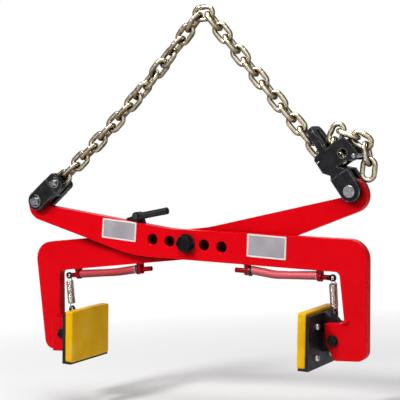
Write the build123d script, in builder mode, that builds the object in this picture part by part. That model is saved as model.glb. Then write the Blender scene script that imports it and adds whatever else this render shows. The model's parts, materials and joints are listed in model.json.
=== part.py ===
from build123d import *
from math import asin, atan2, cos, degrees, hypot, isclose, pi, radians, sin, sqrt, tan
import os

os.makedirs("parts", exist_ok=True)

# Stone lifting clamp: two crossed arms on one bolt, hung from a chain that draws them shut.
# Millimetres, +Z up, X along the clamp's span, the viewer of the front arm looks along +Y.
# The origin is the point of the top link where a crane hook bears.

# Arms. Places on an arm are (x, z) from the scissor pivot, with x towards that arm's own jaw.
plate = 20.0
arm_gap = 2.0
lever_reach = 351.0
lever_rise = 93.5
eye_radius = 33.6
eye_shift = (5.0, -8.5)
eye_cut_angle = 57.0
eye_cover = 18.0
top_bend = (-35.0, 28.7)
under_bend_x = -127.0
beam_drop = 33.8
under_slope = 4.17
jaw_reach = 384.4
shoulder_rise = 1.8
leg_width = 59.1
foot_depth = 226.0
foot_inset = 12.4
lug_root = 53.4
lug_reach = 93.9
lug_depth = 71.0
lug_slant = 33.0
lug_foot = 77.4
bend_radius = 300.0
shoulder_radius = 38.0
foot_radius = 20.0
inner_radius = 10.0
small_radius = 6.0
edge_break = 0.8

# Scissor pivot and the row of spare holes beside it in the front arm
pivot_bolt_d = 20.0
pivot_sleeve_wall = 1.0
hole_pitch = 39.4
hole_row_slope = 6.1
holes_each_side = 2
hole_rim = 1.6
hex_flats = 30.0
hex_height = 12.5
nut_height = 16.0
washer_d = 37.0
washer_thickness = 3.0
friction_washer_d = 46.0
running_play = 0.1
face_play = 0.2

# Foot fork, pad bracket and pad. Places on a pad are (x, z) from the pad bolt.
pad_bolt_inset = 78.9
pad_bolt_rise = 38.0
pad_bolt_d = 12.0
pad_bolt_head_d = 18.0
pad_bolt_head = 6.0
pad_nut_flats = 19.0
pad_nut_height = 9.0
pad_washer_d = 22.0
pad_washer = 2.0
bolt_stub = 3.0
cheek = 12.0
ear = 12.0
ear_play = 0.5
ear_radius = 14.0
cheek_width = 46.5
spacer_width = 14.5
pad_lean = 4.3
pad_width = 140.0
pad_height = 106.0
pad_thickness = 18.0
pad_stand = 52.0
pad_top = 56.0
pad_edge = 3.0
back_plate = 6.5
back_plate_drop = 6.0
lip = 4.0
lip_reach = 15.0
screw_d = 6.0
screw_head_d = 13.0
screw_head = 6.5
screw_depth = 14.0
screw_spread = 68.0
screw_rise = 60.0
screw_centre = -3.5
tab = 4.0
tab_hole = (-8.0, 50.0)
tab_radius = 7.0
tab_foot = 2.0
ear_back_rise = 32.0
hook_hole_d = 7.0

# Spring rod under each arm, measured along the underside from the pivot and down from it
rod_d = 10.0
rod_drop = 13.0
rod_start = 104.0
rod_eye_lead = 4.0
rod_eye_neck = 9.5
rod_first_lug = 130.0
rod_last_lug = 25.5
rod_lug = 8.0
rod_lug_width = 16.0
rod_lug_round = 9.0
sleeve_d = 17.5
collar_d = 20.0
collar = 5.0

# Extension springs between rod and pad bracket
spring_wire = 2.0
spring_d = 16.0
spring_pitch = 3.0
hook_radius = 5.4
hook_lead = 1.0
coil_inset = 12.5

# Blank label plates on the front arm: centre, width, height, slope
label_plate = 0.8
labels = (
    ("label_plate_small", -156.0, 28.6, 81.0, 40.5, -7.5),
    ("label_plate_large", 177.0, -8.4, 83.5, 45.0, -5.2),
)
label_corner = 2.0

# Latch on top of the front arm's lever, and its catch on the rear arm
latch_at = (-116.0, 54.5)
latch_shaft_d = 10.0
latch_lug = 10.0
latch_lug_round = 10.0
latch_lug_toe = 28.0
latch_lug_toe_height = 4.0
latch_lug_heel = 14.0
latch_plate = 6.5
latch_play = 0.5
latch_slope = 8.5
latch_bar_end = 13.0
latch_bar_height = 11.0
latch_tang_d = 9.0
latch_grip_d = 15.5
latch_grip = 62.0
latch_head_d = 11.0
latch_head = 4.0
pawl = 6.0
pawl_back = 3.0
pawl_reach = 12.5
pawl_round = 7.0
pawl_tooth = 2.0
pawl_tooth_height = 3.6
catch_post = (97.0, 104.0)
catch_tip = 113.6
catch_under = 29.2
catch_bar = 4.0

# Chain: wire, inner length and inner width of one link
wire = 10.0
pitch = 30.0
link_inner_width = 14.0
link_play = 0.3
left_links = 16
right_links = 13
right_flat_links = 2
left_sag = 9.6
right_sag = 2.5
twist = 40.0
twist_from = 1
twist_to = 8

# Left clevis between the front arm's lever and the chain
clevis_length = 61.0
clevis_radius = 20.0
clevis_corner = 9.0
fork_ear = 14.0
fork_play = 0.5
arm_pin_d = 16.0
chain_pin_d = 12.0
clevis_ridge = 49.0
clevis_relief = 3.0
clevis_web = 38.0
link_room = 1.2
pin_head_lip = 3.5
pin_head = 5.5
pin_stub = 6.0
circlip = 1.6
circlip_width = 6.4
circlip_rim = 2.4
circlip_prong = 4.0
circlip_groove = 0.8
circlip_gap = 13.0

# Shortening clutch on the rear arm. Places are (a, b): along its axis from the arm pin, and across.
clutch_turn = 6.8
clutch_radius = 20.0
seat = (82.0, -13.0)
clutch_half = 26.0
clutch_wall = 7.5
clutch_web = 38.0
slot_play = 1.0
seat_play = 0.5
window = (45.0, 139.0)
clutch_top = 147.0
clutch_neck = -14.5
clutch_crown = 18.0
clutch_round = 3.0
clutch_boss = (58.0, 88.0)
clutch_boss_out = -25.0
clutch_boss_slant = (4.0, 5.0)
clutch_shoulder_slant = 3.0
clutch_seam = 1.0
clutch_left = -8.0
clutch_right = 5.5
clutch_web_face = -2.0
claw_low = 52.0
claw_top = 90.0
claw_crown = 4.0
claw_bevel = (20.0, 6.0)
claw_reach = 54.0
claw_hole = (66.0, 30.0)
claw_hole_radius = 9.0
lock_pin_at = (49.0, 46.0)
lock_pin_d = 8.0
lock_pin_travel = 14.0
lock_pin_stub = 4.0
knob_d = 14.0
knob_length = 15.0
knob_stand = 6.0
tail_headings = (80.0, 24.0, 62.0, 145.0, 155.0, 205.0, 222.0)

# Values that follow from the dimensions above
half_gap = arm_gap / 2
plate_out = half_gap + plate
plate_mid = half_gap + plate / 2
leg_inner = jaw_reach - leg_width
foot_reach = jaw_reach - foot_inset
lug_root_x = jaw_reach - lug_root
lug_tip = jaw_reach - lug_reach
lug_top = lug_depth - foot_depth
lug_slant_top = lug_slant - foot_depth
lug_slant_x = jaw_reach - lug_foot
cheek_back = lug_tip + cheek_width
spacer_front = cheek_back - spacer_width
pad_bolt_at = (jaw_reach - pad_bolt_inset, pad_bolt_rise - foot_depth)
rod_eye_at = pad_bolt_at[0] + rod_eye_lead
rod_shoulder = rod_eye_at - rod_eye_neck
rod_lugs = (rod_first_lug, rod_eye_at - rod_last_lug)
link_bow = link_inner_width / 2
link_mid_radius = link_bow + wire / 2
link_straight = pitch / 2 - link_bow
link_tip = link_straight + link_mid_radius
link_step = pitch - link_play
link_slack = link_bow - wire / 2 - link_play
pivot_hole_d = pivot_bolt_d + 2 * pivot_sleeve_wall + 2 * running_play
fork_room = ear + 2 * ear_play
cheek_in = half_gap - fork_room
cheek_out = cheek_in - cheek
nut_out = cheek_out - pad_washer - pad_nut_height
ear_in = half_gap - ear_play - ear
plate_face = pad_thickness - pad_stand
plate_back = plate_face + back_plate
plate_top = pad_top - back_plate_drop
pad_bottom = pad_top - pad_height
screw_spots = [
    (sideways, rise)
    for sideways in (-screw_spread / 2, screw_spread / 2)
    for rise in (screw_centre - screw_rise / 2, screw_centre + screw_rise / 2)
]
fork_gap = plate + 2 * fork_play
fork_half = fork_gap / 2 + fork_ear


def turned(point, angle):
    """A flat point turned about the origin by an angle in degrees."""
    a = radians(angle)
    return (point[0] * cos(a) - point[1] * sin(a), point[0] * sin(a) + point[1] * cos(a))


def walk(point, angle, length):
    """The flat point reached by going a length in a direction given in degrees."""
    return (point[0] + length * cos(radians(angle)), point[1] + length * sin(radians(angle)))


def hang(count, sag):
    """Links of a chain leg from the top link down, as (centre, heading), first link along +x."""
    point = (link_slack + link_tip - link_step / 2, 0.0)
    links = []
    for number in range(count):
        heading = sag * number / (count - 1)
        links.append((walk(point, heading, link_step / 2), heading))
        point = walk(point, heading, link_step)
    return links


# Chain legs laid out flat, then swung so that both meet at the top link
left_local = hang(left_links, -left_sag)
chain_pin_offset = link_straight + link_bow - chain_pin_d / 2 - link_play
left_chain_pin = walk(left_local[-1][0], left_local[-1][1], chain_pin_offset)
left_arm_pin = walk(left_chain_pin, left_local[-1][1], clevis_length)
right_local = hang(right_links, right_sag)
clutch_heading = right_local[-1][1] - clutch_turn
seat_to_pin = turned((seat[0], -seat[1]), clutch_heading)
right_arm_pin = (right_local[-1][0][0] + seat_to_pin[0], right_local[-1][0][1] + seat_to_pin[1])
left_span = hypot(*left_arm_pin)
right_span = hypot(*right_arm_pin)
base = 2 * (lever_reach - link_straight)
apex_along = (left_span**2 - right_span**2 + base**2) / (2 * base)
apex_up = sqrt(left_span**2 - apex_along**2)
apex = (apex_along - base / 2, lever_rise + apex_up)
pivot = Vector(-apex[0], 0, -apex[1] - link_bow)
link_centre = Vector(0, 0, -link_bow)


def arm_frame(jaw, depth):
    """Sketch plane of an arm: jaw is 1 for the front arm, -1 for the rear, depth grows outward."""
    origin = (pivot.X, -jaw * depth, pivot.Z)
    return Plane(origin=origin, x_dir=(jaw, 0, 0), z_dir=(0, -jaw, 0))


def leaning(frame, point, angle):
    """The frame moved to a flat point of its own and turned by an angle in degrees."""
    origin = frame.from_local_coords((point[0], point[1], 0))
    heading = frame.x_dir * cos(radians(angle)) + frame.y_dir * sin(radians(angle))
    return Plane(origin=origin, x_dir=heading, z_dir=frame.z_dir)


def pad_frame(jaw, depth):
    """Sketch plane of a pad, at its bolt; both pads lean the same way in space."""
    return leaning(arm_frame(jaw, depth), pad_bolt_at, -jaw * pad_lean)


def rod_frame(jaw, depth):
    """Sketch plane along the arm's underside, x towards the jaw, y up."""
    return leaning(arm_frame(jaw, depth), (0, -beam_drop), -under_slope)


def rod_section(jaw, along):
    """Sketch plane across the spring rod, at a distance along it."""
    axis = rod_frame(jaw, plate_mid)
    return Plane(origin=axis.from_local_coords((along, -rod_drop, 0)), z_dir=axis.x_dir)


def screw_frame(jaw, spot):
    """Sketch plane of a pad screw on the back plate, x_dir free, normal away from the pad."""
    origin = pad_frame(jaw, spot[0]).from_local_coords((plate_back, spot[1], 0))
    return Plane(origin=origin, z_dir=pad_frame(jaw, 0).x_dir)


def round_corners(sketch, corners):
    """Round the sketch corner nearest to each given point."""
    for point, radius in corners:
        fillet(sketch.vertices().sort_by_distance((point[0], point[1], 0))[0], radius)


def finish(part, name):
    """Label a finished piece and write it."""
    part.label = name
    export_step(part, f"parts/{name}.step")


# Arms
eye = (-lever_reach + eye_shift[0], lever_rise + eye_shift[1])
under_bend = (under_bend_x, -beam_drop - under_bend_x * tan(radians(under_slope)))
to_eye = (eye[0] - under_bend[0], eye[1] - under_bend[1])
eye_angle = degrees(atan2(to_eye[1], to_eye[0]))
eye_tangent = eye_angle + degrees(asin(eye_radius / hypot(*to_eye)))
eye_low = walk(under_bend, eye_tangent, sqrt(hypot(*to_eye) ** 2 - eye_radius**2))
lever_pin = (-lever_reach, lever_rise)
cut_along = walk((0, 0), eye_cut_angle, 1)
cut_out = (cut_along[1], -cut_along[0])


def past_cut(point):
    """How far a flat point lies beyond the cut, on the side of the pivot."""
    return (point[0] - lever_pin[0]) * cut_out[0] + (point[1] - lever_pin[1]) * cut_out[1] - eye_cover


share = past_cut(top_bend) / (past_cut(top_bend) - past_cut(eye))
eye_root = tuple(start + share * (end - start) for start, end in zip(top_bend, eye))
eye_chord = sqrt(eye_radius**2 - past_cut(eye) ** 2)
eye_top = walk(walk(eye, eye_cut_angle, eye_chord), eye_cut_angle - 90, -past_cut(eye))
low_angle = degrees(atan2(eye_low[1] - eye[1], eye_low[0] - eye[0])) % 360
top_angle = degrees(atan2(eye_top[1] - eye[1], eye_top[0] - eye[0]))
eye_side = walk(eye, (low_angle + top_angle) / 2, eye_radius)
leg_corner = (leg_inner, -beam_drop - leg_inner * tan(radians(under_slope)))
hole_places = [
    walk((0, 0), -hole_row_slope, hole_pitch * k) for k in range(-holes_each_side, holes_each_side + 1)
]
arm_outline = [
    eye_low,
    under_bend,
    leg_corner,
    (lug_root_x, lug_top),
    (lug_tip, lug_top),
    (lug_tip, lug_slant_top),
    (lug_slant_x, -foot_depth),
    (foot_reach, -foot_depth),
    (jaw_reach, shoulder_rise),
    top_bend,
    eye_root,
    eye_top,
]
arm_corners = [
    (under_bend, bend_radius),
    (top_bend, bend_radius),
    (leg_corner, inner_radius),
    (eye_root, small_radius),
    (eye_top, small_radius),
    ((lug_root_x, lug_top), small_radius),
    ((lug_tip, lug_top), small_radius / 2),
    ((lug_tip, lug_slant_top), small_radius),
    ((lug_slant_x, -foot_depth), small_radius),
    ((foot_reach, -foot_depth), foot_radius),
    ((jaw_reach, shoulder_rise), shoulder_radius),
]
for jaw, side in ((1, "front"), (-1, "rear")):
    with BuildPart() as arm:
        with BuildSketch(arm_frame(jaw, half_gap)) as outline:
            with BuildLine():
                Polyline(*arm_outline)
                ThreePointArc(eye_top, eye_side, eye_low)
            make_face()
            round_corners(outline, arm_corners)
            with Locations(*(hole_places if jaw > 0 else hole_places[holes_each_side:-holes_each_side])):
                Circle(pivot_hole_d / 2, mode=Mode.SUBTRACT)
            with Locations(lever_pin):
                Circle(arm_pin_d / 2 + running_play, mode=Mode.SUBTRACT)
            with Locations(pad_bolt_at):
                Circle(pad_bolt_d / 2, mode=Mode.SUBTRACT)
        extrude(amount=plate)
        chamfer(arm.faces().sort_by(Axis.Y)[0].outer_wire().edges(), edge_break)
        chamfer(arm.faces().sort_by(Axis.Y)[-1].outer_wire().edges(), edge_break)
        circles = arm.edges().filter_by(GeomType.CIRCLE)
        rims = circles.filter_by(lambda edge: isclose(edge.radius, pivot_hole_d / 2))
        chamfer(rims.group_by(Axis.Y)[0 if jaw > 0 else -1], hole_rim)
    finish(arm.part, f"{side}_arm")

    # Foot fork: a spacer behind the lug and a cheek on it, with the bracket's ear between
    with BuildPart() as spacer:
        with BuildSketch(arm_frame(jaw, cheek_in)):
            with BuildLine():
                Polyline(
                    (spacer_front, lug_top),
                    (cheek_back, lug_top),
                    (cheek_back, -foot_depth),
                    (spacer_front, -foot_depth),
                    close=True,
                )
            make_face()
        extrude(amount=fork_room)
    finish(spacer.part, f"{side}_foot_spacer")

    with BuildPart() as foot_cheek:
        with BuildSketch(arm_frame(jaw, cheek_out)) as outline:
            with BuildLine():
                Polyline(
                    (lug_tip, lug_top),
                    (cheek_back, lug_top),
                    (cheek_back, -foot_depth),
                    (lug_slant_x, -foot_depth),
                    (lug_tip, lug_slant_top),
                    close=True,
                )
            make_face()
            round_corners(outline, [(corner, small_radius) for corner in arm_outline[4:7]])
            with Locations(pad_bolt_at):
                Circle(pad_bolt_d / 2, mode=Mode.SUBTRACT)
        extrude(amount=cheek)
        chamfer(foot_cheek.faces().sort_by(Axis.Y)[0 if jaw < 0 else -1].outer_wire().edges(), edge_break)
    finish(foot_cheek.part, f"{side}_foot_cheek")

    # Pad bolt with its head on the arm, two washers, and a nut on the cheek
    with BuildPart() as pad_bolt:
        with BuildSketch(arm_frame(jaw, plate_out + pad_washer)):
            with Locations(pad_bolt_at):
                Circle(pad_bolt_head_d / 2)
        extrude(amount=pad_bolt_head)
        chamfer(pad_bolt.edges().sort_by(Axis.Y)[0 if jaw > 0 else -1], edge_break)
        with BuildSketch(arm_frame(jaw, nut_out - bolt_stub)):
            with Locations(pad_bolt_at):
                Circle(pad_bolt_d / 2)
        extrude(amount=plate_out + pad_washer - nut_out + bolt_stub)
    finish(pad_bolt.part, f"{side}_pad_bolt")

    with BuildPart() as pad_washers:
        for depth in (plate_out, cheek_out - pad_washer):
            with BuildSketch(arm_frame(jaw, depth)):
                with Locations(pad_bolt_at):
                    Circle(pad_washer_d / 2)
                    Circle(pad_bolt_d / 2, mode=Mode.SUBTRACT)
            extrude(amount=pad_washer)
    finish(pad_washers.part, f"{side}_pad_washers")

    with BuildPart() as pad_nut:
        with BuildSketch(arm_frame(jaw, nut_out)):
            with Locations(pad_bolt_at):
                RegularPolygon(pad_nut_flats / 2, 6, major_radius=False)
                Circle(pad_bolt_d / 2, mode=Mode.SUBTRACT)
        extrude(amount=pad_nut_height)
    finish(pad_nut.part, f"{side}_pad_nut")

    # Pad bracket: back plate with a bottom lip, an ear on the bolt and a thin tab for the spring
    with BuildPart() as bracket:
        with BuildSketch(pad_frame(jaw, -pad_width / 2)):
            with BuildLine():
                Polyline(
                    (plate_face, plate_top),
                    (plate_back, plate_top),
                    (plate_back, pad_bottom - lip),
                    (plate_face - lip_reach, pad_bottom - lip),
                    (plate_face - lip_reach, pad_bottom),
                    (plate_face, pad_bottom),
                    close=True,
                )
            make_face()
        extrude(amount=pad_width)
        with BuildSketch(pad_frame(jaw, ear_in)) as outline:
            with BuildLine():
                Polyline(
                    (plate_back, plate_top),
                    (plate_back, -2 * ear_radius),
                    (0, -ear_radius),
                    (ear_radius, 0),
                    (ear_radius / 2, ear_back_rise),
                    (tab_hole[0] + tab_radius, tab_hole[1] - tab_radius - tab_foot),
                    (tab_hole[0] - tab_radius, tab_hole[1] - tab_radius),
                    close=True,
                )
            make_face()
            Circle(ear_radius)
            Circle(pad_bolt_d / 2 + running_play, mode=Mode.SUBTRACT)
        extrude(amount=ear)
        with BuildSketch(pad_frame(jaw, ear_in + ear / 2 - tab / 2)):
            with Locations((tab_hole[0], tab_hole[1] - tab_radius)):
                Rectangle(2 * tab_radius, 2 * tab_radius)
            with Locations(tab_hole):
                Circle(tab_radius)
                Circle(hook_hole_d / 2, mode=Mode.SUBTRACT)
        extrude(amount=tab)
        for spot in screw_spots:
            with BuildSketch(screw_frame(jaw, spot)):
                Circle(screw_d / 2)
            extrude(amount=-2 * back_plate, mode=Mode.SUBTRACT)
    finish(bracket.part, f"{side}_pad_bracket")

    with BuildPart() as pad:
        with BuildSketch(pad_frame(jaw, -pad_width / 2)):
            with Locations((-pad_stand + pad_thickness / 2, pad_top - pad_height / 2)):
                Rectangle(pad_thickness, pad_height)
        extrude(amount=pad_width)
        fillet(pad.edges().filter_by(GeomType.LINE), pad_edge)
        for spot in screw_spots:
            with BuildSketch(screw_frame(jaw, spot)):
                Circle(screw_d / 2)
            extrude(amount=-screw_depth, mode=Mode.SUBTRACT)
    finish(pad.part, f"{side}_pad")

    with BuildPart() as pad_screws:
        for spot in screw_spots:
            with BuildSketch(screw_frame(jaw, spot)):
                Circle(screw_head_d / 2)
            extrude(amount=screw_head)
            with BuildSketch(screw_frame(jaw, spot)):
                Circle(screw_d / 2)
            extrude(amount=-screw_depth)
    finish(pad_screws.part, f"{side}_pad_screws")

    # Spring rod with a flat eye at its end, welded lugs, sleeve and collar
    rod_axis = rod_frame(jaw, plate_mid)
    with BuildPart() as rod:
        with BuildSketch(rod_section(jaw, rod_start)):
            Circle(rod_d / 2)
        extrude(amount=rod_shoulder - rod_start)
        with BuildSketch(rod_frame(jaw, plate_mid - tab / 2)):
            with Locations(((rod_shoulder + rod_eye_at) / 2, -rod_drop)):
                Rectangle(rod_eye_at - rod_shoulder, rod_d)
            with Locations((rod_eye_at, -rod_drop)):
                Circle(tab_radius)
                Circle(hook_hole_d / 2, mode=Mode.SUBTRACT)
        extrude(amount=tab)
    finish(rod.part, f"{side}_spring_rod")

    with BuildPart() as rod_lug_pair:
        for place in rod_lugs:
            with BuildSketch(Plane(
                origin=rod_axis.from_local_coords((place - rod_lug / 2, 0, 0)),
                x_dir=rod_axis.z_dir,
                z_dir=rod_axis.x_dir,
            )):
                with Locations((0, rod_drop / 2)):
                    Rectangle(rod_lug_width, rod_drop)
                with Locations((0, rod_drop)):
                    Circle(rod_lug_round)
                    Circle(rod_d / 2, mode=Mode.SUBTRACT)
            extrude(amount=rod_lug)
    finish(rod_lug_pair.part, f"{side}_rod_lugs")

    sleeve_from = rod_lugs[0] + rod_lug / 2
    sleeve_to = rod_lugs[1] - rod_lug / 2
    for name, outer, start, end in (
        ("rod_collar", collar_d, sleeve_from, sleeve_from + collar),
        ("rod_sleeve", sleeve_d, sleeve_from + collar, sleeve_to),
    ):
        with BuildPart() as ring:
            with BuildSketch(rod_section(jaw, start)):
                Circle(outer / 2)
                Circle(rod_d / 2, mode=Mode.SUBTRACT)
            extrude(amount=end - start)
            fillet(ring.edges().filter_by(GeomType.CIRCLE).sort_by(SortBy.RADIUS)[-2:], edge_break)
        finish(ring.part, f"{side}_{name}")

# Extension springs: hooked through the rod's eye above and the bracket's tab below
def bow(start, heading, end, end_heading):
    """Two arcs that join two points and keep to the heading at each."""
    reach = end - start
    both = heading + end_heading
    bend = 2 * (1 - heading.dot(end_heading))
    along = reach.dot(both)
    arm_length = (sqrt(along**2 + bend * reach.dot(reach)) - along) / bend
    first = start + heading * arm_length
    last = end - end_heading * arm_length
    middle = (first + last) * 0.5
    TangentArc(start, middle, tangent=heading)
    TangentArc(middle, end, tangent=(last - first).normalized())


spring_radius = (spring_d - spring_wire) / 2
first_angle = -45.0
gap_points = 1500
for jaw, side in ((1, "front"), (-1, "rear")):
    low = pad_frame(jaw, ear_in + ear / 2).from_local_coords((tab_hole[0], tab_hole[1], 0))
    high = rod_frame(jaw, plate_mid).from_local_coords((rod_eye_at, -rod_drop, 0))
    span = (high - low).length
    up = (high - low).normalized()
    across = Vector(0, 1, 0).cross(up).normalized()
    spring_frame = Plane(origin=low, x_dir=across, z_dir=up)
    quarter_turns = 4 * int((span - 2 * coil_inset) / spring_pitch) + 1
    coil_rise = (span - 2 * coil_inset) / (quarter_turns * 90)

    def coil_point(angle):
        """A point of the winding and its heading, angle in degrees from the start of the coil."""
        around = radians(first_angle + angle)
        climb = coil_inset + coil_rise * angle
        point = (spring_radius * cos(around), spring_radius * sin(around), climb)
        outward = across * cos(around) + spring_frame.y_dir * sin(around)
        forward = up.cross(outward) * spring_radius + up * degrees(coil_rise)
        return spring_frame.from_local_coords(point), forward.normalized()

    with BuildPart() as spring:
        with BuildLine() as route:
            for end_side, eye_point, inward in ((1, low, up), (-1, high, up * -1)):
                sideways = spring_frame.y_dir * (hook_radius * end_side)
                bend = eye_point + inward * hook_radius
                Line(bend + sideways + inward * (2 * spring_wire), bend + sideways)
                ThreePointArc(bend + sideways, eye_point, bend - sideways)
                Line(bend - sideways, bend - sideways + inward * hook_lead)
            bow(low + up * (hook_radius + hook_lead) - spring_frame.y_dir * hook_radius, up, *coil_point(0))
            for quarter in range(quarter_turns):
                bow(*coil_point(90 * quarter), *coil_point(90 * quarter + 90))
            coil_end = coil_point(90 * quarter_turns)
            bow(*coil_end, high - up * (hook_radius + hook_lead) + spring_frame.y_dir * hook_radius, up)
        spring_path = Wire(route.edges())
        with BuildSketch(Plane(origin=spring_path @ 0, z_dir=spring_path % 0)):
            Circle(spring_wire / 2)
        sweep(path=spring_path)
    finish(spring.part, f"{side}_pad_spring")
    filled = spring.part.volume / (spring_path.length * pi * spring_wire**2 / 4)
    points = [spring_path.position_at(k / gap_points) for k in range(gap_points + 1)]
    apart = int(gap_points * 2 * spring_d / spring_path.length)
    gap = min((points[j] - points[i]).length for i in range(0, gap_points, 3)
              for j in range(i + apart, min(i + 3 * apart, gap_points + 1))) - spring_wire
    print(side, "spring: span", round(span, 2), "least gap", round(gap, 2), "filled", round(filled, 4))

# Scissor pivot: bolt with its head on the front arm, sleeve, washers and nut
front_face = arm_frame(1, plate_out)
rear_stop = -plate_out - face_play
with BuildPart() as pivot_bolt:
    with BuildSketch(front_face.offset(washer_thickness)):
        RegularPolygon(hex_flats / 2, 6, major_radius=False)
    extrude(amount=hex_height)
    chamfer(pivot_bolt.faces().sort_by(Axis.Y)[0].edges(), edge_break)
    with BuildSketch(front_face.offset(washer_thickness)):
        Circle(pivot_bolt_d / 2)
    extrude(amount=-(2 * plate_out + face_play + 2 * washer_thickness + nut_height + bolt_stub))
finish(pivot_bolt.part, "pivot_bolt")

for name, depth, outer, inner, thickness in (
    ("pivot_washer_front", plate_out, washer_d, pivot_bolt_d, washer_thickness),
    ("pivot_washer_rear", rear_stop - washer_thickness, washer_d, pivot_bolt_d, washer_thickness),
    ("pivot_sleeve", rear_stop, pivot_hole_d - 2 * running_play, pivot_bolt_d, plate_out - rear_stop),
    ("friction_washer", face_play - half_gap, friction_washer_d, pivot_hole_d, arm_gap - face_play),
):
    with BuildPart() as ring:
        with BuildSketch(arm_frame(1, depth)):
            Circle(outer / 2)
            Circle(inner / 2, mode=Mode.SUBTRACT)
        extrude(amount=thickness)
    finish(ring.part, name)

with BuildPart() as pivot_nut:
    with BuildSketch(arm_frame(1, rear_stop - washer_thickness - nut_height)):
        RegularPolygon(hex_flats / 2, 6, major_radius=False)
        Circle(pivot_bolt_d / 2, mode=Mode.SUBTRACT)
    extrude(amount=nut_height)
finish(pivot_nut.part, "pivot_nut")

# Blank label plates
for name, x, z, width, height, slope in labels:
    with BuildPart() as label:
        with BuildSketch(leaning(front_face, (x, z), slope)):
            RectangleRounded(width, height, label_corner)
        extrude(amount=label_plate)
    finish(label.part, name)

# Latch: a lug on the lever's top edge carries a shaft, with the hand lever in front and a pawl behind
lever_slope = degrees(atan2(eye[1] - top_bend[1], eye[0] - top_bend[0])) - 180
edge_below = top_bend[1] + (latch_at[0] - top_bend[0]) * tan(radians(lever_slope))
latch_edge = leaning(arm_frame(1, 0), (latch_at[0], edge_below), lever_slope)
lug_height = (latch_at[1] - edge_below) * cos(radians(lever_slope))
lug_shift = (latch_at[1] - edge_below) * sin(radians(lever_slope))
with BuildPart() as latch_lug_block:
    with BuildSketch(latch_edge.offset(half_gap)) as outline:
        with BuildLine():
            Polyline(
                (-latch_lug_toe, 0),
                (latch_lug_heel, 0),
                (lug_shift + latch_lug_round, lug_height),
                (lug_shift - latch_lug_round, lug_height),
                (-latch_lug_toe, latch_lug_toe_height),
                close=True,
            )
        make_face()
        with Locations((lug_shift, lug_height)):
            Circle(latch_lug_round)
            Circle(latch_shaft_d / 2 + running_play, mode=Mode.SUBTRACT)
    extrude(amount=latch_lug)
finish(latch_lug_block.part, "latch_lug")

latch_front = half_gap + latch_lug + latch_play
latch_back = -pawl_back - pawl
with BuildPart() as latch_shaft:
    with BuildSketch(leaning(arm_frame(1, latch_back), latch_at, 0)):
        Circle(latch_shaft_d / 2)
    extrude(amount=latch_front + latch_plate - latch_back)
    with BuildSketch(leaning(arm_frame(1, latch_front + latch_plate), latch_at, 0)):
        Circle(latch_head_d / 2)
    extrude(amount=latch_head)
    chamfer(latch_shaft.edges().sort_by(Axis.Y)[0], edge_break)
finish(latch_shaft.part, "latch_shaft")

with BuildPart() as latch_lever:
    with BuildSketch(leaning(arm_frame(1, latch_front), latch_at, latch_slope)) as outline:
        with Locations((latch_bar_end / 2, 0)):
            Rectangle(latch_bar_end, latch_bar_height)
        Circle(latch_lug_round)
        Circle(latch_shaft_d / 2, mode=Mode.SUBTRACT)
    extrude(amount=latch_plate)
    tang = leaning(arm_frame(1, latch_front + latch_plate / 2), latch_at, latch_slope)
    with BuildSketch(Plane(origin=tang.from_local_coords((latch_bar_end, 0, 0)), z_dir=tang.x_dir)):
        Circle(latch_tang_d / 2)
    extrude(amount=latch_grip - edge_break)
finish(latch_lever.part, "latch_lever")

with BuildPart() as latch_grip_sleeve:
    with BuildSketch(Plane(origin=tang.from_local_coords((latch_bar_end, 0, 0)), z_dir=tang.x_dir)):
        Circle(latch_grip_d / 2)
    extrude(amount=latch_grip + edge_break)
    fillet(latch_grip_sleeve.edges().sort_by(Axis.X)[-1], 3 * edge_break)
    with BuildSketch(Plane(origin=tang.from_local_coords((latch_bar_end, 0, 0)), z_dir=tang.x_dir)):
        Circle(latch_tang_d / 2)
    extrude(amount=latch_grip - edge_break, mode=Mode.SUBTRACT)
finish(latch_grip_sleeve.part, "latch_grip")

with BuildPart() as latch_pawl:
    with BuildSketch(leaning(arm_frame(1, latch_back), latch_at, 0)) as outline:
        with BuildLine():
            Polyline(
                (-pawl_round, 0),
                (-pawl_round / 2, -pawl_reach),
                (pawl_tooth, -pawl_reach),
                (pawl_tooth, -pawl_reach + pawl_tooth_height),
                (0, -pawl_reach + pawl_tooth_height),
                (pawl_round, 0),
                close=True,
            )
        make_face()
        Circle(pawl_round)
        Circle(latch_shaft_d / 2, mode=Mode.SUBTRACT)
    extrude(amount=pawl)
finish(latch_pawl.part, "latch_pawl")

jaw_top_slope = degrees(atan2(shoulder_rise - top_bend[1], jaw_reach - top_bend[0]))


def jaw_top(x):
    """Height of the arm's top edge on its jaw side."""
    return top_bend[1] + (x - top_bend[0]) * tan(radians(jaw_top_slope))


with BuildPart() as latch_catch:
    with BuildSketch(arm_frame(-1, pawl_back)):
        with BuildLine():
            Polyline(
                (catch_post[0], jaw_top(catch_post[0])),
                (catch_post[1], jaw_top(catch_post[1])),
                (catch_post[1], catch_under + catch_bar / 2),
                (catch_tip, catch_under),
                (catch_tip, catch_under + catch_bar),
                (catch_post[0], catch_under + 2 * catch_bar),
                close=True,
            )
        make_face()
    extrude(amount=pawl)
finish(latch_catch.part, "latch_catch")

# One chain link about its own centre, long axis along X, flat in XY
with BuildPart() as link:
    with BuildLine() as bar_path:
        Line((-link_straight, -link_mid_radius), (link_straight, -link_mid_radius))
        ThreePointArc((link_straight, -link_mid_radius), (link_tip, 0), (link_straight, link_mid_radius))
        Line((link_straight, link_mid_radius), (-link_straight, link_mid_radius))
        ThreePointArc((-link_straight, link_mid_radius), (-link_tip, 0), (-link_straight, -link_mid_radius))
    with BuildSketch(Plane(origin=(-link_straight, -link_mid_radius, 0), z_dir=(1, 0, 0))):
        Circle(wire / 2)
    sweep(path=bar_path.line)

with BuildPart() as top_link:
    with Locations(Plane(origin=link_centre, x_dir=(1, 0, 0), z_dir=(0, -1, 0)).location):
        add(link.part)
finish(top_link.part, "top_link")


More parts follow.
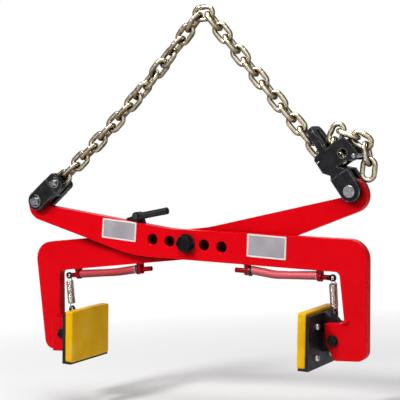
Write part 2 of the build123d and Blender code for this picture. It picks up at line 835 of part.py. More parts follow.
def swing(local_end, arm_end, hang_point):
    """Angle that turns a leg laid along +x so that its end meets the arm's pin."""
    laid = degrees(atan2(local_end[1], local_end[0]))
    return degrees(atan2(arm_end[1] - hang_point[1], arm_end[0] - hang_point[0])) - laid


def link_place(centre, heading, drift, roll):
    """Place of one link: centre in space, heading in the XZ plane, sideways drift, roll about itself."""
    along = Vector(cos(radians(heading)), drift, sin(radians(heading))).normalized()
    flat = (Vector(0, -1, 0) + along * along.Y).normalized()
    side_on = along.cross(flat)
    normal = flat * cos(radians(roll)) + side_on * sin(radians(roll))
    return Plane(origin=centre, x_dir=along, z_dir=normal).location


def leg_places(local, hang_point, turn, drift_links, depth, rolls):
    """Places of a leg's links, running from the top link's plane out to the arm's plane."""
    places = []
    for number, (centre, heading) in enumerate(local):
        spot = turned(centre, turn)
        done = min((number + 0.5) / drift_links, 1) if number < drift_links else 1
        at = (hang_point[0] + spot[0], depth * done, hang_point[1] + spot[1])
        drift = depth / drift_links / link_step if number < drift_links else 0
        places.append(link_place(at, heading + turn, drift, rolls[number]))
    return places


left_hang = (-link_straight, -link_bow)
right_hang = (link_straight, -link_bow)
left_pin_at = (pivot.X - lever_reach, pivot.Z + lever_rise)
right_pin_at = (pivot.X + lever_reach, pivot.Z + lever_rise)
left_turn = swing(left_arm_pin, left_pin_at, left_hang)
right_turn = swing(right_arm_pin, right_pin_at, right_hang)


def twisted(number):
    """Roll of a left link: alternately flat and edge-on, with a slow twist in the upper part."""
    edge_on = 90 * ((number + 1) % 2)
    stretch = (number - twist_from) / (twist_to - twist_from)
    if 0 < stretch < 1:
        return edge_on + twist * sin(pi * stretch) ** 2
    return edge_on


left_rolls = [twisted(number) for number in range(left_links)]
right_rolls = [90 * ((number + 1) % 2) for number in range(right_links)]
left_places = leg_places(left_local, left_hang, left_turn, left_links - 1, -plate_mid, left_rolls)
right_places = leg_places(
    right_local, right_hang, right_turn, right_links - right_flat_links, plate_mid, right_rolls
)
for name, places in (("left_chain", left_places), ("right_chain", right_places)):
    with BuildPart() as chain:
        with Locations(*places):
            add(link.part)
    finish(chain.part, name)


def pin_with_clip(frame, diameter, head_end, tail_end, head_name, clip_name):
    """A round pin along the frame's normal: head beyond head_end, clip in a groove beyond tail_end."""
    out = 1 if head_end > tail_end else -1
    groove_radius = diameter / 2 - circlip_groove
    clip_radius = groove_radius + circlip_width
    prong_end = clip_radius - circlip_rim / 2
    with BuildPart() as pin:
        with BuildSketch(frame.offset(tail_end - out * pin_stub)):
            Circle(diameter / 2)
        extrude(amount=head_end - tail_end + out * pin_stub)
        chamfer(pin.edges().filter_by(GeomType.CIRCLE), edge_break)
        with BuildSketch(frame.offset(head_end)):
            Circle(diameter / 2 + pin_head_lip)
        extrude(amount=out * pin_head)
        chamfer(pin.edges().filter_by(GeomType.CIRCLE).sort_by(SortBy.RADIUS)[-2:], edge_break)
        with BuildSketch(frame.offset(tail_end)):
            Circle(diameter / 2 + pin_head_lip)
            Circle(groove_radius, mode=Mode.SUBTRACT)
        extrude(amount=-out * circlip, mode=Mode.SUBTRACT)
    finish(pin.part, head_name)
    with BuildPart() as clip:
        with BuildSketch(frame.offset(tail_end)):
            Circle(clip_radius)
            Circle(clip_radius - circlip_rim, mode=Mode.SUBTRACT)
            Rectangle(2 * prong_end, circlip_prong)
            with Locations((0, -prong_end / 2)):
                Rectangle(circlip_prong, prong_end)
            Circle(groove_radius, mode=Mode.SUBTRACT)
            with Locations((0, clip_radius)):
                Rectangle(circlip_gap, 2 * circlip_width, mode=Mode.SUBTRACT)
        extrude(amount=-out * circlip)
    finish(clip.part, clip_name)


# Left clevis: a wide fork on the front arm's lever and a narrow one on the last link
clevis_angle = left_local[-1][1] + left_turn + 180
left_pin_point = Vector(left_pin_at[0], -plate_mid, left_pin_at[1])
clevis_dir = (cos(radians(clevis_angle)), 0, sin(radians(clevis_angle)))
clevis_frame = Plane(origin=left_pin_point, x_dir=clevis_dir, z_dir=(0, -1, 0))
chain_pin_frame = leaning(clevis_frame, (clevis_length, 0), 0)
link_slot = wire + 2 * link_room
link_slot_bottom = clevis_length + chain_pin_offset - link_tip - wire / 2 - link_room
clevis_end = clevis_length + chain_pin_offset + link_step - link_tip - wire / 2 - link_room
with BuildPart() as clevis:
    with BuildSketch(clevis_frame.offset(-fork_half)) as clevis_outline:
        with Locations((clevis_end / 2, 0)):
            Rectangle(clevis_end, 2 * clevis_radius)
        for edge in (-clevis_radius, clevis_radius):
            round_corners(clevis_outline, [((clevis_end, edge), clevis_corner)])
        Circle(clevis_radius)
    extrude(amount=2 * fork_half)
    for start in (-fork_half, fork_half - clevis_relief):
        with BuildSketch(clevis_frame.offset(start)):
            with Locations(((clevis_ridge + clevis_end) / 2, 0)):
                Rectangle(clevis_end - clevis_ridge, 3 * clevis_radius)
        extrude(amount=clevis_relief, mode=Mode.SUBTRACT)
    for width, start, end in (
        (fork_gap, -2 * clevis_radius, clevis_web),
        (link_slot, link_slot_bottom, 2 * clevis_end),
    ):
        with BuildSketch(clevis_frame.offset(-width / 2)):
            with Locations(((start + end) / 2, 0)):
                Rectangle(end - start, 3 * clevis_radius)
        extrude(amount=width, mode=Mode.SUBTRACT)
    with BuildSketch(clevis_frame.offset(-fork_half)):
        Circle(arm_pin_d / 2)
        with Locations((clevis_length, 0)):
            Circle(chain_pin_d / 2)
    extrude(amount=2 * fork_half, mode=Mode.SUBTRACT)
    chamfer(clevis.faces().sort_by(Axis.Y)[0].outer_wire().edges(), clevis_relief / 2)
    chamfer(clevis.faces().sort_by(Axis.Y)[-1].outer_wire().edges(), clevis_relief / 2)
finish(clevis.part, "clevis")
pin_with_clip(clevis_frame, arm_pin_d, -fork_half, fork_half, "clevis_arm_pin", "clevis_arm_circlip")
chain_half = fork_half - clevis_relief
pin_with_clip(
    chain_pin_frame, chain_pin_d, -chain_half, chain_half, "clevis_chain_pin", "clevis_chain_circlip"
)

# Shortening clutch: fork, slotted head with a seat for the loaded link, and a claw with a lock pin
clutch_angle = clutch_heading + right_turn + 180
right_pin_point = Vector(right_pin_at[0], plate_mid, right_pin_at[1])
clutch_dir = (cos(radians(clutch_angle)), 0, sin(radians(clutch_angle)))
clutch_frame = Plane(origin=right_pin_point, x_dir=clutch_dir, z_dir=(0, 1, 0))
chain_lean = -clutch_turn
seat_half = link_tip + wire / 2 + seat_play
boss_step = (clutch_boss[1] + clutch_boss_slant[0], clutch_boss_out + clutch_boss_slant[1])
slot = wire + 2 * slot_play
pocket = link_inner_width + 2 * wire + 2 * slot_play
lock_frame = leaning(clutch_frame, lock_pin_at, 0)
claw_in = clutch_half - clutch_wall
with BuildPart() as clutch:
    with BuildSketch(clutch_frame.offset(-fork_half)) as fork_outline:
        with Locations((clutch_web / 2, 0)):
            Rectangle(clutch_web, 2 * clutch_radius)
        Circle(clutch_radius)
    extrude(amount=2 * fork_half)
    with BuildSketch(clutch_frame.offset(-clutch_half)) as head_outline:
        with BuildLine():
            Polyline(
                (clutch_web - clutch_seam, -clutch_radius),
                (window[0], clutch_neck),
                (clutch_boss[0], clutch_boss_out),
                (clutch_boss[1], clutch_boss_out),
                boss_step,
                (boss_step[0] + clutch_shoulder_slant, clutch_left),
                (clutch_top, clutch_left),
                (clutch_top, clutch_right),
                (claw_low, clutch_right),
                (clutch_web, clutch_radius),
                (clutch_web - clutch_seam, clutch_radius),
                close=True,
            )
        make_face()
        round_corners(head_outline, [
            ((window[0], clutch_neck), clutch_round),
            ((clutch_boss[0], clutch_boss_out), clutch_round),
            ((clutch_boss[1], clutch_boss_out), clutch_round),
            (boss_step, clutch_round),
            ((clutch_top, clutch_left), clutch_round),
            ((clutch_top, clutch_right), clutch_round),
        ])
    extrude(amount=2 * clutch_half)
    with BuildSketch(Plane(right_pin_point, x_dir=clutch_dir, z_dir=clutch_frame.y_dir)) as tongue:
        with Locations((clutch_top / 2 - clutch_radius, 0)):
            Rectangle(clutch_top + 2 * clutch_radius, 2 * clutch_half)
        for edge in (-clutch_half, clutch_half):
            round_corners(tongue, [((clutch_top, edge), clutch_crown)])
    extrude(amount=2 * clutch_radius, both=True, mode=Mode.INTERSECT)
    for start in (-clutch_half, claw_in):
        with BuildSketch(clutch_frame.offset(start)) as claw_outline:
            with BuildLine():
                Polyline(
                    (claw_low, clutch_right - clutch_seam),
                    (claw_top, clutch_right - clutch_seam),
                    (claw_top + claw_crown, claw_reach / 2),
                    (claw_top, claw_reach - claw_bevel[1]),
                    (claw_top - claw_bevel[0], claw_reach),
                    (lock_pin_at[0], lock_pin_at[1] + lock_pin_d),
                    (lock_pin_at[0] - lock_pin_d, lock_pin_at[1] - lock_pin_d / 2),
                    (claw_low, claw_reach / 2),
                    close=True,
                )
            make_face()
            round_corners(claw_outline, [
                ((claw_top + claw_crown, claw_reach / 2), clutch_round),
                ((claw_top, claw_reach - claw_bevel[1]), clutch_round),
                ((claw_top - claw_bevel[0], claw_reach), clutch_round),
                ((lock_pin_at[0], lock_pin_at[1] + lock_pin_d), clutch_round),
                ((lock_pin_at[0] - lock_pin_d, lock_pin_at[1] - lock_pin_d / 2), clutch_round),
            ])
            with Locations(claw_hole):
                Circle(claw_hole_radius, mode=Mode.SUBTRACT)
        extrude(amount=clutch_wall)
    with BuildSketch(clutch_frame.offset(-fork_gap / 2)):
        with Locations(((clutch_web - 2 * clutch_radius) / 2, 0)):
            Rectangle(clutch_web + 2 * clutch_radius, 3 * clutch_radius)
    extrude(amount=fork_gap, mode=Mode.SUBTRACT)
    with BuildSketch(clutch_frame.offset(-slot / 2)):
        with Locations(((window[0] + window[1]) / 2, 0)):
            Rectangle(window[1] - window[0], 4 * clutch_radius)
    extrude(amount=slot, mode=Mode.SUBTRACT)
    with BuildSketch(leaning(clutch_frame, seat, chain_lean).offset(-pocket / 2)):
        with Locations((0, (wire / 2 + seat_play - 2 * clutch_radius) / 2)):
            Rectangle(2 * seat_half, wire / 2 + seat_play + 2 * clutch_radius)
    extrude(amount=pocket, mode=Mode.SUBTRACT)
    with BuildSketch(clutch_frame.offset(-pocket / 2)):
        with Locations((seat[0], clutch_web_face + clutch_radius)):
            Rectangle(2 * seat_half, 2 * clutch_radius)
    extrude(amount=pocket, mode=Mode.SUBTRACT)
    with BuildSketch(clutch_frame.offset(-fork_half)):
        Circle(arm_pin_d / 2)
    extrude(amount=2 * fork_half, mode=Mode.SUBTRACT)
    with BuildSketch(lock_frame.offset(-clutch_half)):
        Circle(lock_pin_d / 2 + running_play)
    extrude(amount=2 * clutch_half, mode=Mode.SUBTRACT)
finish(clutch.part, "clutch")
pin_with_clip(clutch_frame, arm_pin_d, -fork_half, fork_half, "clutch_arm_pin", "clutch_arm_circlip")

with BuildPart() as lock_pin:
    with BuildSketch(lock_frame.offset(-clutch_half - lock_pin_stub)):
        Circle(lock_pin_d / 2)
    extrude(amount=2 * clutch_half + lock_pin_stub + knob_stand + knob_length / 2)
    chamfer(lock_pin.edges().sort_by(Axis.Y)[0], edge_break)
finish(lock_pin.part, "lock_pin")

with BuildPart() as lock_knob:
    with BuildSketch(lock_frame.offset(clutch_half + knob_stand)):
        Circle(knob_d / 2)
    extrude(amount=knob_length)
    fillet(lock_knob.edges().filter_by(GeomType.CIRCLE), 2 * edge_break)
    with BuildSketch(lock_frame.offset(clutch_half + knob_stand)):
        Circle(lock_pin_d / 2)
    extrude(amount=knob_length / 2, mode=Mode.SUBTRACT)
finish(lock_knob.part, "lock_knob")

# Slack tail of the chain: a flat link turns about the tip of the edge-on link before it,
# an edge-on link about the bow of the flat one
tail_places = []
bite = walk(seat, 180 + chain_lean, link_tip)
for number, heading in enumerate(tail_headings):
    reach = link_tip if number % 2 else link_straight
    middle = walk(bite, heading, link_slack + reach)
    bite = walk(middle, heading, reach)
    spot = clutch_frame.from_local_coords((middle[0], middle[1], 0))
    toward = clutch_frame.x_dir * cos(radians(heading)) + clutch_frame.y_dir * sin(radians(heading))
    tail_angle = degrees(atan2(toward.Z, toward.X))
    tail_places.append(link_place(spot, tail_angle, 0, 90 * (number % 2)))
with BuildPart() as tail_chain:
    with Locations(*tail_places):
        add(link.part)
finish(tail_chain.part, "tail_chain")
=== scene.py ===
import json

import bpy
import numpy as np
from mathutils import Matrix, Vector


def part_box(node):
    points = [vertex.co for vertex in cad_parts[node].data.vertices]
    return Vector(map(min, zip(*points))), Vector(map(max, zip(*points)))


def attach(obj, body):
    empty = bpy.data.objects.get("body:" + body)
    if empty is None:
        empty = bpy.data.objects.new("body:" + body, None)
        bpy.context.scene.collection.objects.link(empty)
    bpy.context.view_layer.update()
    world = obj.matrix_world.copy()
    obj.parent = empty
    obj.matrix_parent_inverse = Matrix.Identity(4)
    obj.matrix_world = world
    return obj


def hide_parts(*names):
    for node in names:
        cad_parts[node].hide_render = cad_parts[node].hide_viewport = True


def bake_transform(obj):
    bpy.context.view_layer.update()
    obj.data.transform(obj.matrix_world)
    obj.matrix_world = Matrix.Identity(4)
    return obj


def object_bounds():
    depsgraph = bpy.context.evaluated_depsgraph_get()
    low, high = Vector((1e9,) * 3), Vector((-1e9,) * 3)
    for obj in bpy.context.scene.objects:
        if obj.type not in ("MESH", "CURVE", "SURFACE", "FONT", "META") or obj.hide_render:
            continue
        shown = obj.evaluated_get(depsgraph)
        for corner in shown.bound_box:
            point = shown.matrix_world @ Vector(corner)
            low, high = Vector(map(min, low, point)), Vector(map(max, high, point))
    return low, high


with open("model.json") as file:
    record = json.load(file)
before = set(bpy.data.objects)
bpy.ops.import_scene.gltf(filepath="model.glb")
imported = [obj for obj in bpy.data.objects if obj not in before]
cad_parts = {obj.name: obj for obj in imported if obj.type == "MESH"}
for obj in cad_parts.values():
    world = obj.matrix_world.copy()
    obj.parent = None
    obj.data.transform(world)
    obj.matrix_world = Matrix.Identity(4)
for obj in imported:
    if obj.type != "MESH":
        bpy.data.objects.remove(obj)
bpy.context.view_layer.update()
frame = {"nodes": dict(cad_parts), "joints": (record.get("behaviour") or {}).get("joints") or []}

# Arms, foot cheeks, spacers and lugs: steel plate, flame cut, ground and welded.
# All of it is powder coated a gloss red, and the coat runs over the welds, with a fine orange peel.
# Painted shade darkens its corners, holes and the faces under overhangs, and the rod lugs are painted
# a deeper red as shade. The paler edges are partly rubbed coat and partly painted highlight.
nodes = frame["nodes"]
jaws = {"front": 1, "rear": -1}
coat_red = (0.74, 0.0008, 0.006)
# Painted shade: a deeper red for the rod lugs and the spring rods, which sit under the beam.
lug_shade_red = (0.34, 0.0008, 0.006)
# Pale red of the edges: partly rubbed coat, partly painted highlight.
rubbed_and_sheen_red = (0.66, 0.022, 0.032)
# Painted shade: the dark red that corners, holes and faces under overhangs are darkened to.
painted_shade_red = (0.07, 0.0, 0.0006)
cloud_shade = 0.88
edge_width = 0.0014
flat_match = 0.995
edge_match = 0.86
# Reach and tilts of the painted shade in corners, in holes and under overhangs.
corner_reach = 0.030
sky_tilt = 0.8
overhang_sky = (0.78, 0.3)
overhang_faces = (0.2, 0.7)
pit_sky = (0.45, 0.25)
peel_waves = 850
peel_depth = 0.00012


def feed(tree, socket, value):
    """Give a socket a link, a plain value, or a colour of three parts at full opacity."""
    if isinstance(value, bpy.types.NodeSocket):
        tree.links.new(value, socket)
    elif socket.type == "RGBA":
        socket.default_value = (*value, 1)
    else:
        socket.default_value = value


def add_node(tree, kind, inputs=None, **settings):
    """One shader node: settings are its properties, inputs its sockets, each a value or a link."""
    made = tree.nodes.new(kind)
    for key, value in settings.items():
        setattr(made, key, value)
    for key, value in (inputs or {}).items():
        feed(tree, made.inputs[key], value)
    return made


def new_finish(name):
    """An empty finish: its material, node tree and shader."""
    material = bpy.data.materials.new(name)
    material.use_nodes = True
    return material, material.node_tree, material.node_tree.nodes["Principled BSDF"]


def shade(tree, shader, **sockets):
    """Set the shader's sockets by name, each a value or a link."""
    for key, value in sockets.items():
        feed(tree, shader.inputs[key.replace("_", " ")], value)


def maths(tree, operation, first, second=0.0):
    """Product, larger one or another operation on two values or links."""
    return add_node(tree, "ShaderNodeMath", {0: first, 1: second}, operation=operation).outputs[0]


def times(tree, first, second):
    """Product of two values or links."""
    return maths(tree, "MULTIPLY", first, second)


def vectors(tree, operation, first, second=(0, 0, 0)):
    """Sum, dot product or another operation on two vectors: a vector and a value come out."""
    return add_node(tree, "ShaderNodeVectorMath", {0: first, 1: second}, operation=operation).outputs


def remap(tree, value, low, high, start=0.0, end=1.0):
    """Value between low and high, carried in a straight line to start and end, and held there."""
    limits = {"Value": value, "From Min": low, "From Max": high, "To Min": start, "To Max": end}
    return add_node(tree, "ShaderNodeMapRange", limits).outputs[0]


def between(tree, share, first, second):
    """Colour that goes from first to second, sockets 6 and 7, as share goes from 0 to 1."""
    ends = {"Factor": share, 6: first, 7: second}
    return add_node(tree, "ShaderNodeMix", ends, data_type="RGBA").outputs[2]


def toned(colour, share):
    """A darker or paler colour: each part times the share."""
    return tuple(share * part for part in colour)


def object_place(tree):
    """The place of the point on the object, in metres."""
    return add_node(tree, "ShaderNodeTexCoord").outputs["Object"]


def surface_normal(tree):
    """The direction that the surface faces."""
    return add_node(tree, "ShaderNodeNewGeometry").outputs["Normal"]


def facing_up(tree):
    """Height of the normal: 1 on top, 0 on an upright wall and -1 beneath."""
    return add_node(tree, "ShaderNodeSeparateXYZ", {0: surface_normal(tree)}).outputs["Z"]


def grain(tree, waves, detail=3.0, squeeze=(1, 1, 1)):
    """Noise from 0 to 1 on object coordinates, in waves a metre, squeezed along the axes."""
    sized = add_node(tree, "ShaderNodeMapping", {"Vector": object_place(tree), "Scale": squeeze})
    noise = {"Vector": sized.outputs[0], "Scale": waves, "Detail": detail}
    return add_node(tree, "ShaderNodeTexNoise", noise).outputs[0]


def clouds(tree, waves, detail, low, high, start=0.0, end=1.0, squeeze=(1, 1, 1)):
    """Grain in soft patches: its values from low to high are stretched to start and end."""
    return remap(tree, grain(tree, waves, detail, squeeze), low, high, start, end)


def gloss(tree, waves, smooth, rough, detail=4):
    """Roughness that drifts in patches from smooth to rough."""
    return clouds(tree, waves, detail, low=0.3, high=0.7, start=smooth, end=rough)


def relief(tree, shader, height, depth):
    """Fine bumps on the shader's normal, depth in metres."""
    bump = add_node(tree, "ShaderNodeBump", {"Height": height, "Distance": depth, "Strength": 1})
    shade(tree, shader, Normal=bump.outputs[0])


def sharp_edges(tree, width):
    """1 on edges sharper than the width, 0 on flats: how far a rounded normal leaves the true one."""
    soft = add_node(tree, "ShaderNodeBevel", {"Radius": width}, samples=4).outputs[0]
    match = vectors(tree, "DOT_PRODUCT", soft, surface_normal(tree))["Value"]
    return remap(tree, match, flat_match, edge_match)


def sheltered(tree, reach):
    """1 under an overhang or deep in a hole, 0 in the open: sky seen from a normal tilted up."""
    tilted = vectors(tree, "ADD", surface_normal(tree), (0, 0, sky_tilt))[0]
    look = {"Distance": reach, "Normal": vectors(tree, "NORMALIZE", tilted)[0]}
    sky = add_node(tree, "ShaderNodeAmbientOcclusion", look, samples=8).outputs["AO"]
    not_on_top = remap(tree, facing_up(tree), *overhang_faces, start=1.0, end=0.0)
    under = times(tree, remap(tree, sky, *overhang_sky), not_on_top)
    return maths(tree, "MAXIMUM", under, remap(tree, sky, *pit_sky))


def powder_coat(name, colour, painted_shade=True):
    """Gloss coat: slow clouding, orange peel, painted shade in corners, in holes and under overhangs, edges
    paler in patches, partly rubbed and partly painted highlight.
    """
    material, tree, shader = new_finish(name)
    cloud = clouds(tree, waves=7, detail=3, low=0.3, high=0.7)
    tone = between(tree, cloud, toned(colour, cloud_shade), colour)
    # Painted shade: corners, holes and faces under overhangs are darkened.
    if painted_shade:
        tone = between(tree, sheltered(tree, corner_reach), tone, painted_shade_red)
    # Edges paler in patches: partly rubbed coat, partly painted highlight.
    patches = clouds(tree, waves=45, detail=5, low=0.42, high=0.62, start=0.05, end=0.35)
    edge = times(tree, sharp_edges(tree, edge_width), patches)
    shade(tree, shader, Base_Color=between(tree, edge, tone, rubbed_and_sheen_red))
    shade(tree, shader, Roughness=gloss(tree, waves=30, smooth=0.24, rough=0.36))
    shade(tree, shader, Coat_Weight=0.02, Coat_Roughness=0.1, Specular_IOR_Level=0.035)
    relief(tree, shader, grain(tree, peel_waves, detail=2), peel_depth)
    return material


def dress(names, material):
    """Give CAD nodes a finish."""
    for name in names:
        nodes[name].data.materials.clear()
        nodes[name].data.materials.append(material)


def on_both(names):
    """Node names of both jaws: each name with the side before it."""
    return [f"{side}_{name}" for side in jaws for name in names]


red_coat = powder_coat("red_powder_coat", coat_red)
dress(on_both(["arm", "foot_spacer", "foot_cheek"]) + ["latch_catch"], red_coat)
# The rod lugs take the deeper red: painted shade.
dress(on_both(["rod_lugs"]), powder_coat("lug_shaded_coat", lug_shade_red))

# Welds: hand-laid beads where the rod lugs and the foot spacers meet the arms.
# Each bead is a small ridge with the ripples of the pool, under the same red coat.
joints = {joint["name"]: joint for joint in frame["joints"]}
pivot = np.array(joints["scissor_pivot"]["pos_m"])
upright = np.array([0.0, 0.0, 1.0])
sideways = np.array([0.0, 1.0, 0.0])
beam_drop = 0.0338
under_slope = np.radians(4.17)
lug_places = (0.130, 0.284)
lug_half = 0.004
lug_half_width = 0.008
plate_mid = 0.011
plate_face = 0.001
plate_outer = 0.021
# Both ends of the weld on the outside of the foot, out and up from the pivot.
foot_weld = ((0.3275, -0.1555), (0.3405, -0.1490))
foot_weld_thick = 1.5
spacer_back = 0.337
spacer_heights = (-0.222, -0.159)
bead_radius = 0.0024
bead_sides = 12
bead_end = 0.03
bead_end_least = 0.4
bead_end_rate = 4
ripple_pitch = 0.0032
ripple_steps = 8
ripple_share = 0.18
sharp_edge = np.radians(38)


def on_arm(jaw, out, rise, depth):
    """Points of an arm: out from the pivot towards its jaw, up, and out from the middle.

    The rear arm, with jaw -1, is the front arm turned half round about the upright axis."""
    return pivot + np.stack(np.broadcast_arrays(jaw * out, -jaw * depth, rise), -1)


def under_beam(jaw, along, drop, depth):
    """Points under an arm: along its underside from the pivot, down from it, out from the middle."""
    out = along * np.cos(under_slope) - drop * np.sin(under_slope)
    rise = -beam_drop - along * np.sin(under_slope) - drop * np.cos(under_slope)
    return on_arm(jaw, out, rise, depth)


def circle(count):
    """Angles of so many points, evenly around a circle."""
    return np.linspace(0, 2 * np.pi, count, endpoint=False)


def place_object(name, data):
    """A new object of a mesh, lamp or camera, put in the scene at the origin."""
    made = bpy.data.objects.new(name, data)
    bpy.context.scene.collection.objects.link(made)
    return made


def skin(name, grids, material, wrap=False):
    """One mesh of closed tubes: each grid is rings x points x 3, wrapped or ended by a fan of faces.

    Faces point outward: they are turned round where the signed volume is negative."""
    points, faces, count = [], [], 0
    for grid in grids:
        rings, around = grid.shape[:2]
        ring = np.arange(rings if wrap else rings - 1)[:, None]
        step = np.arange(around)
        hop = (step + 1) % around
        near = ring * around
        far = (ring + 1) % rings * around
        quads = np.stack([near + step, far + step, far + hop, near + hop], -1).reshape(-1, 4)
        flat = grid.reshape(-1, 3)
        fans = []
        if not wrap:
            hub = np.full(around, len(flat))
            last = len(flat) - around
            fans = [np.stack([hop, step, hub], -1), np.stack([last + step, last + hop, hub + 1], -1)]
            flat = np.concatenate([flat, grid[:1].mean(1), grid[-1:].mean(1)])
        corners = flat[np.concatenate([quads[:, [0, 1, 2]], quads[:, [0, 2, 3]], *fans])]
        volume = np.einsum("ij,ij", corners[:, 0], np.cross(corners[:, 1], corners[:, 2]))
        for some in (quads, *fans):
            ordered = some[:, ::-1] if volume < 0 else some
            faces += (ordered + count).tolist()
        points.append(flat)
        count += len(flat)
    mesh = bpy.data.meshes.new(name)
    mesh.from_pydata(np.concatenate(points).tolist(), [], faces)
    mesh.polygons.foreach_set("use_smooth", np.ones(len(mesh.polygons), bool))
    mesh.set_sharp_from_angle(angle=sharp_edge)
    mesh.materials.append(material)
    return place_object(name, mesh)


def bead(start, end, across, thick=1.0):
    """A weld: a round ridge from start to end whose radius swells with the ripples of the pool."""
    length = np.linalg.norm(end - start)
    side = np.cross((end - start) / length, across)
    t = np.linspace(0, 1, int(length / ripple_pitch * ripple_steps) + 2)
    ripple = np.abs(np.sin(np.pi * t * length / ripple_pitch))
    swell = thick * bead_radius * (1 - ripple_share + ripple_share * ripple)
    arch = np.sin(np.pi * np.clip(t, bead_end, 1 - bead_end))
    swell *= np.clip(arch * bead_end_rate, bead_end_least, 1)
    turn = circle(bead_sides)[:, None]
    ring = np.cos(turn) * across + np.sin(turn) * side
    return start + t[:, None, None] * (end - start) + swell[:, None, None] * ring


weld_coat = powder_coat("weld_coat", coat_red, painted_shade=False)
for side, jaw in jaws.items():
    beads = []
    for edge in (place + half for place in lug_places for half in (-lug_half, lug_half)):
        ends = [under_beam(jaw, edge, 0, plate_mid + half) for half in (-lug_half_width, lug_half_width)]
        beads.append(bead(*ends, upright))
    ends = [on_arm(jaw, spacer_back, rise, plate_face) for rise in spacer_heights]
    beads.append(bead(*ends, sideways))
    ends = [on_arm(jaw, out, rise, plate_outer) for out, rise in foot_weld]
    beads.append(bead(*ends, sideways, foot_weld_thick))
    welds = skin(f"{side}_welds", beads, weld_coat)
    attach(welds, f"{side}_jaw")

# Pivot and pad bolts: black oxide hexagon bolts, nuts and washers, and dull zinc collars on the rods.
# The pivot turns on a bronze sleeve, and a bronze washer keeps the coated arms apart.
black_tone = (0.0055, 0.0055, 0.0062)
# Grey of the edges: partly rubbed steel, partly painted highlight.
black_rub_and_sheen = (0.13, 0.13, 0.138)
blotch_gain = 2.2
dark_zinc = (0.075, 0.068, 0.068)
bronze_tone = (0.46, 0.30, 0.11)
tool_waves = 900
tool_squeeze = (1, 0.15, 1)
tool_depth = 0.00005


def black_oxide(name, black, bumps, depth, smooth, rough, pale_edge=black_rub_and_sheen, edge_reach=0.0012, gleam=0.16):
    """Blackened steel: blotched, edges paler grey in patches, partly rubbed to steel and partly painted
    highlight, bumps in waves a metre.
    """
    material, tree, shader = new_finish(name)
    blotch = clouds(tree, waves=55, detail=5, low=0.35, high=0.68)
    tone = between(tree, blotch, black, toned(black, blotch_gain))
    patches = clouds(tree, waves=120, detail=4, low=0.38, high=0.66, start=0.1, end=0.85)
    edge = times(tree, sharp_edges(tree, edge_reach), patches)
    shade(tree, shader, Base_Color=between(tree, edge, tone, pale_edge))
    shade(tree, shader, Metallic=0.1, Specular_IOR_Level=gleam)
    shade(tree, shader, Roughness=gloss(tree, waves=90, smooth=smooth, rough=rough))
    relief(tree, shader, grain(tree, bumps), depth)
    return material


def bright_metal(name, tone, dull, smooth, rough):
    """Plated or turned metal: two tones in small flakes, with faint rubbing along the tool's way."""
    material, tree, shader = new_finish(name)
    flakes = clouds(tree, waves=260, detail=2, low=0.35, high=0.65)
    shade(tree, shader, Base_Color=between(tree, flakes, dull, tone), Metallic=1.0)
    shade(tree, shader, Roughness=gloss(tree, waves=140, smooth=smooth, rough=rough))
    relief(tree, shader, grain(tree, tool_waves, 2, tool_squeeze), tool_depth)
    return material


black_bolts = black_oxide("black_oxide_bolts", black_tone, bumps=700, depth=0.00008,
                          smooth=0.32, rough=0.48, gleam=0.06)
dull_zinc = bright_metal("dull_zinc", dark_zinc, toned(dark_zinc, share=0.7), smooth=0.34, rough=0.5)
bronze = bright_metal("bearing_bronze", bronze_tone, toned(bronze_tone, share=0.8), smooth=0.3, rough=0.45)
dress(["pivot_bolt", "pivot_nut", "pivot_washer_front", "pivot_washer_rear"], black_bolts)
dress(on_both(["pad_bolt", "pad_nut", "pad_washers"]), black_bolts)
dress(on_both(["rod_collar"]), dull_zinc)
dress(["pivot_sleeve", "friction_washer"], bronze)

# Pad brackets: black painted steel plates that tilt on the pad bolts.
# Four zinc plated button-head screws with a hexagon socket hold each pad to its bracket.
bracket_tone = (0.0095, 0.0092, 0.0098)
bracket_black = black_oxide("bracket_black", bracket_tone, bumps=500, depth=0.0001,
                            smooth=0.34, rough=0.5)
dress(on_both(["pad_bracket"]), bracket_black)
zinc_tone = (0.60, 0.61, 0.63)
zinc_dull = (0.42, 0.43, 0.45)
zinc = bright_metal("bright_zinc", zinc_tone, zinc_dull, smooth=0.22, rough=0.38)
pad_lean = np.radians(4.3)
plate_back = -0.0275
screw_spread = 0.034
screw_heights = (-0.0335, 0.0265)
head_radius = 0.0065
head_height = 0.0062
head_wall = 0.0008
head_turn = 1.05
head_sides = 48
socket_flats = 0.0024
socket_depth = 0.003
socket_steps = np.array([0.0, 0.1, 1.0])
bolt_of = {side: np.array(joints[f"{side}_pad_tilt"]["pos_m"]) for side in jaws}


def on_pad(side, out, rise, depth):
    """Points of a pad from its bolt: out behind it, up along its lean, and across."""
    jaw = jaws[side]
    lean = -jaw * pad_lean
    x = jaw * (out * np.cos(lean) - rise * np.sin(lean))
    z = out * np.sin(lean) + rise * np.cos(lean)
    return bolt_of[side] + np.stack(np.broadcast_arrays(x, depth, z), -1)


def button_head(side, rise, depth):
    """A turned dome with a socket: rings of radius and height, the socket's rings made hexagonal."""
    dome = np.linspace(0, 1, 8)
    dome_height = head_wall + (head_height - head_wall) * np.sin(dome * np.pi / 2)
    socket = np.full(len(socket_steps), socket_flats)
    radius = np.concatenate([[0.0, head_radius], head_radius * np.cos(dome * head_turn), socket])[:, None]
    height = np.concatenate([[0.0, 0.0], dome_height, head_height - socket_depth * socket_steps])[:, None]
    turn = circle(head_sides)
    hexagon = 1 / np.cos(turn % (np.pi / 3) - np.pi / 6)
    in_socket = np.arange(len(radius))[:, None] >= len(radius) - len(socket)
    spread = radius * np.where(in_socket, hexagon, 1.0)
    return on_pad(side, plate_back + height, rise + spread * np.cos(turn), depth + spread * np.sin(turn))


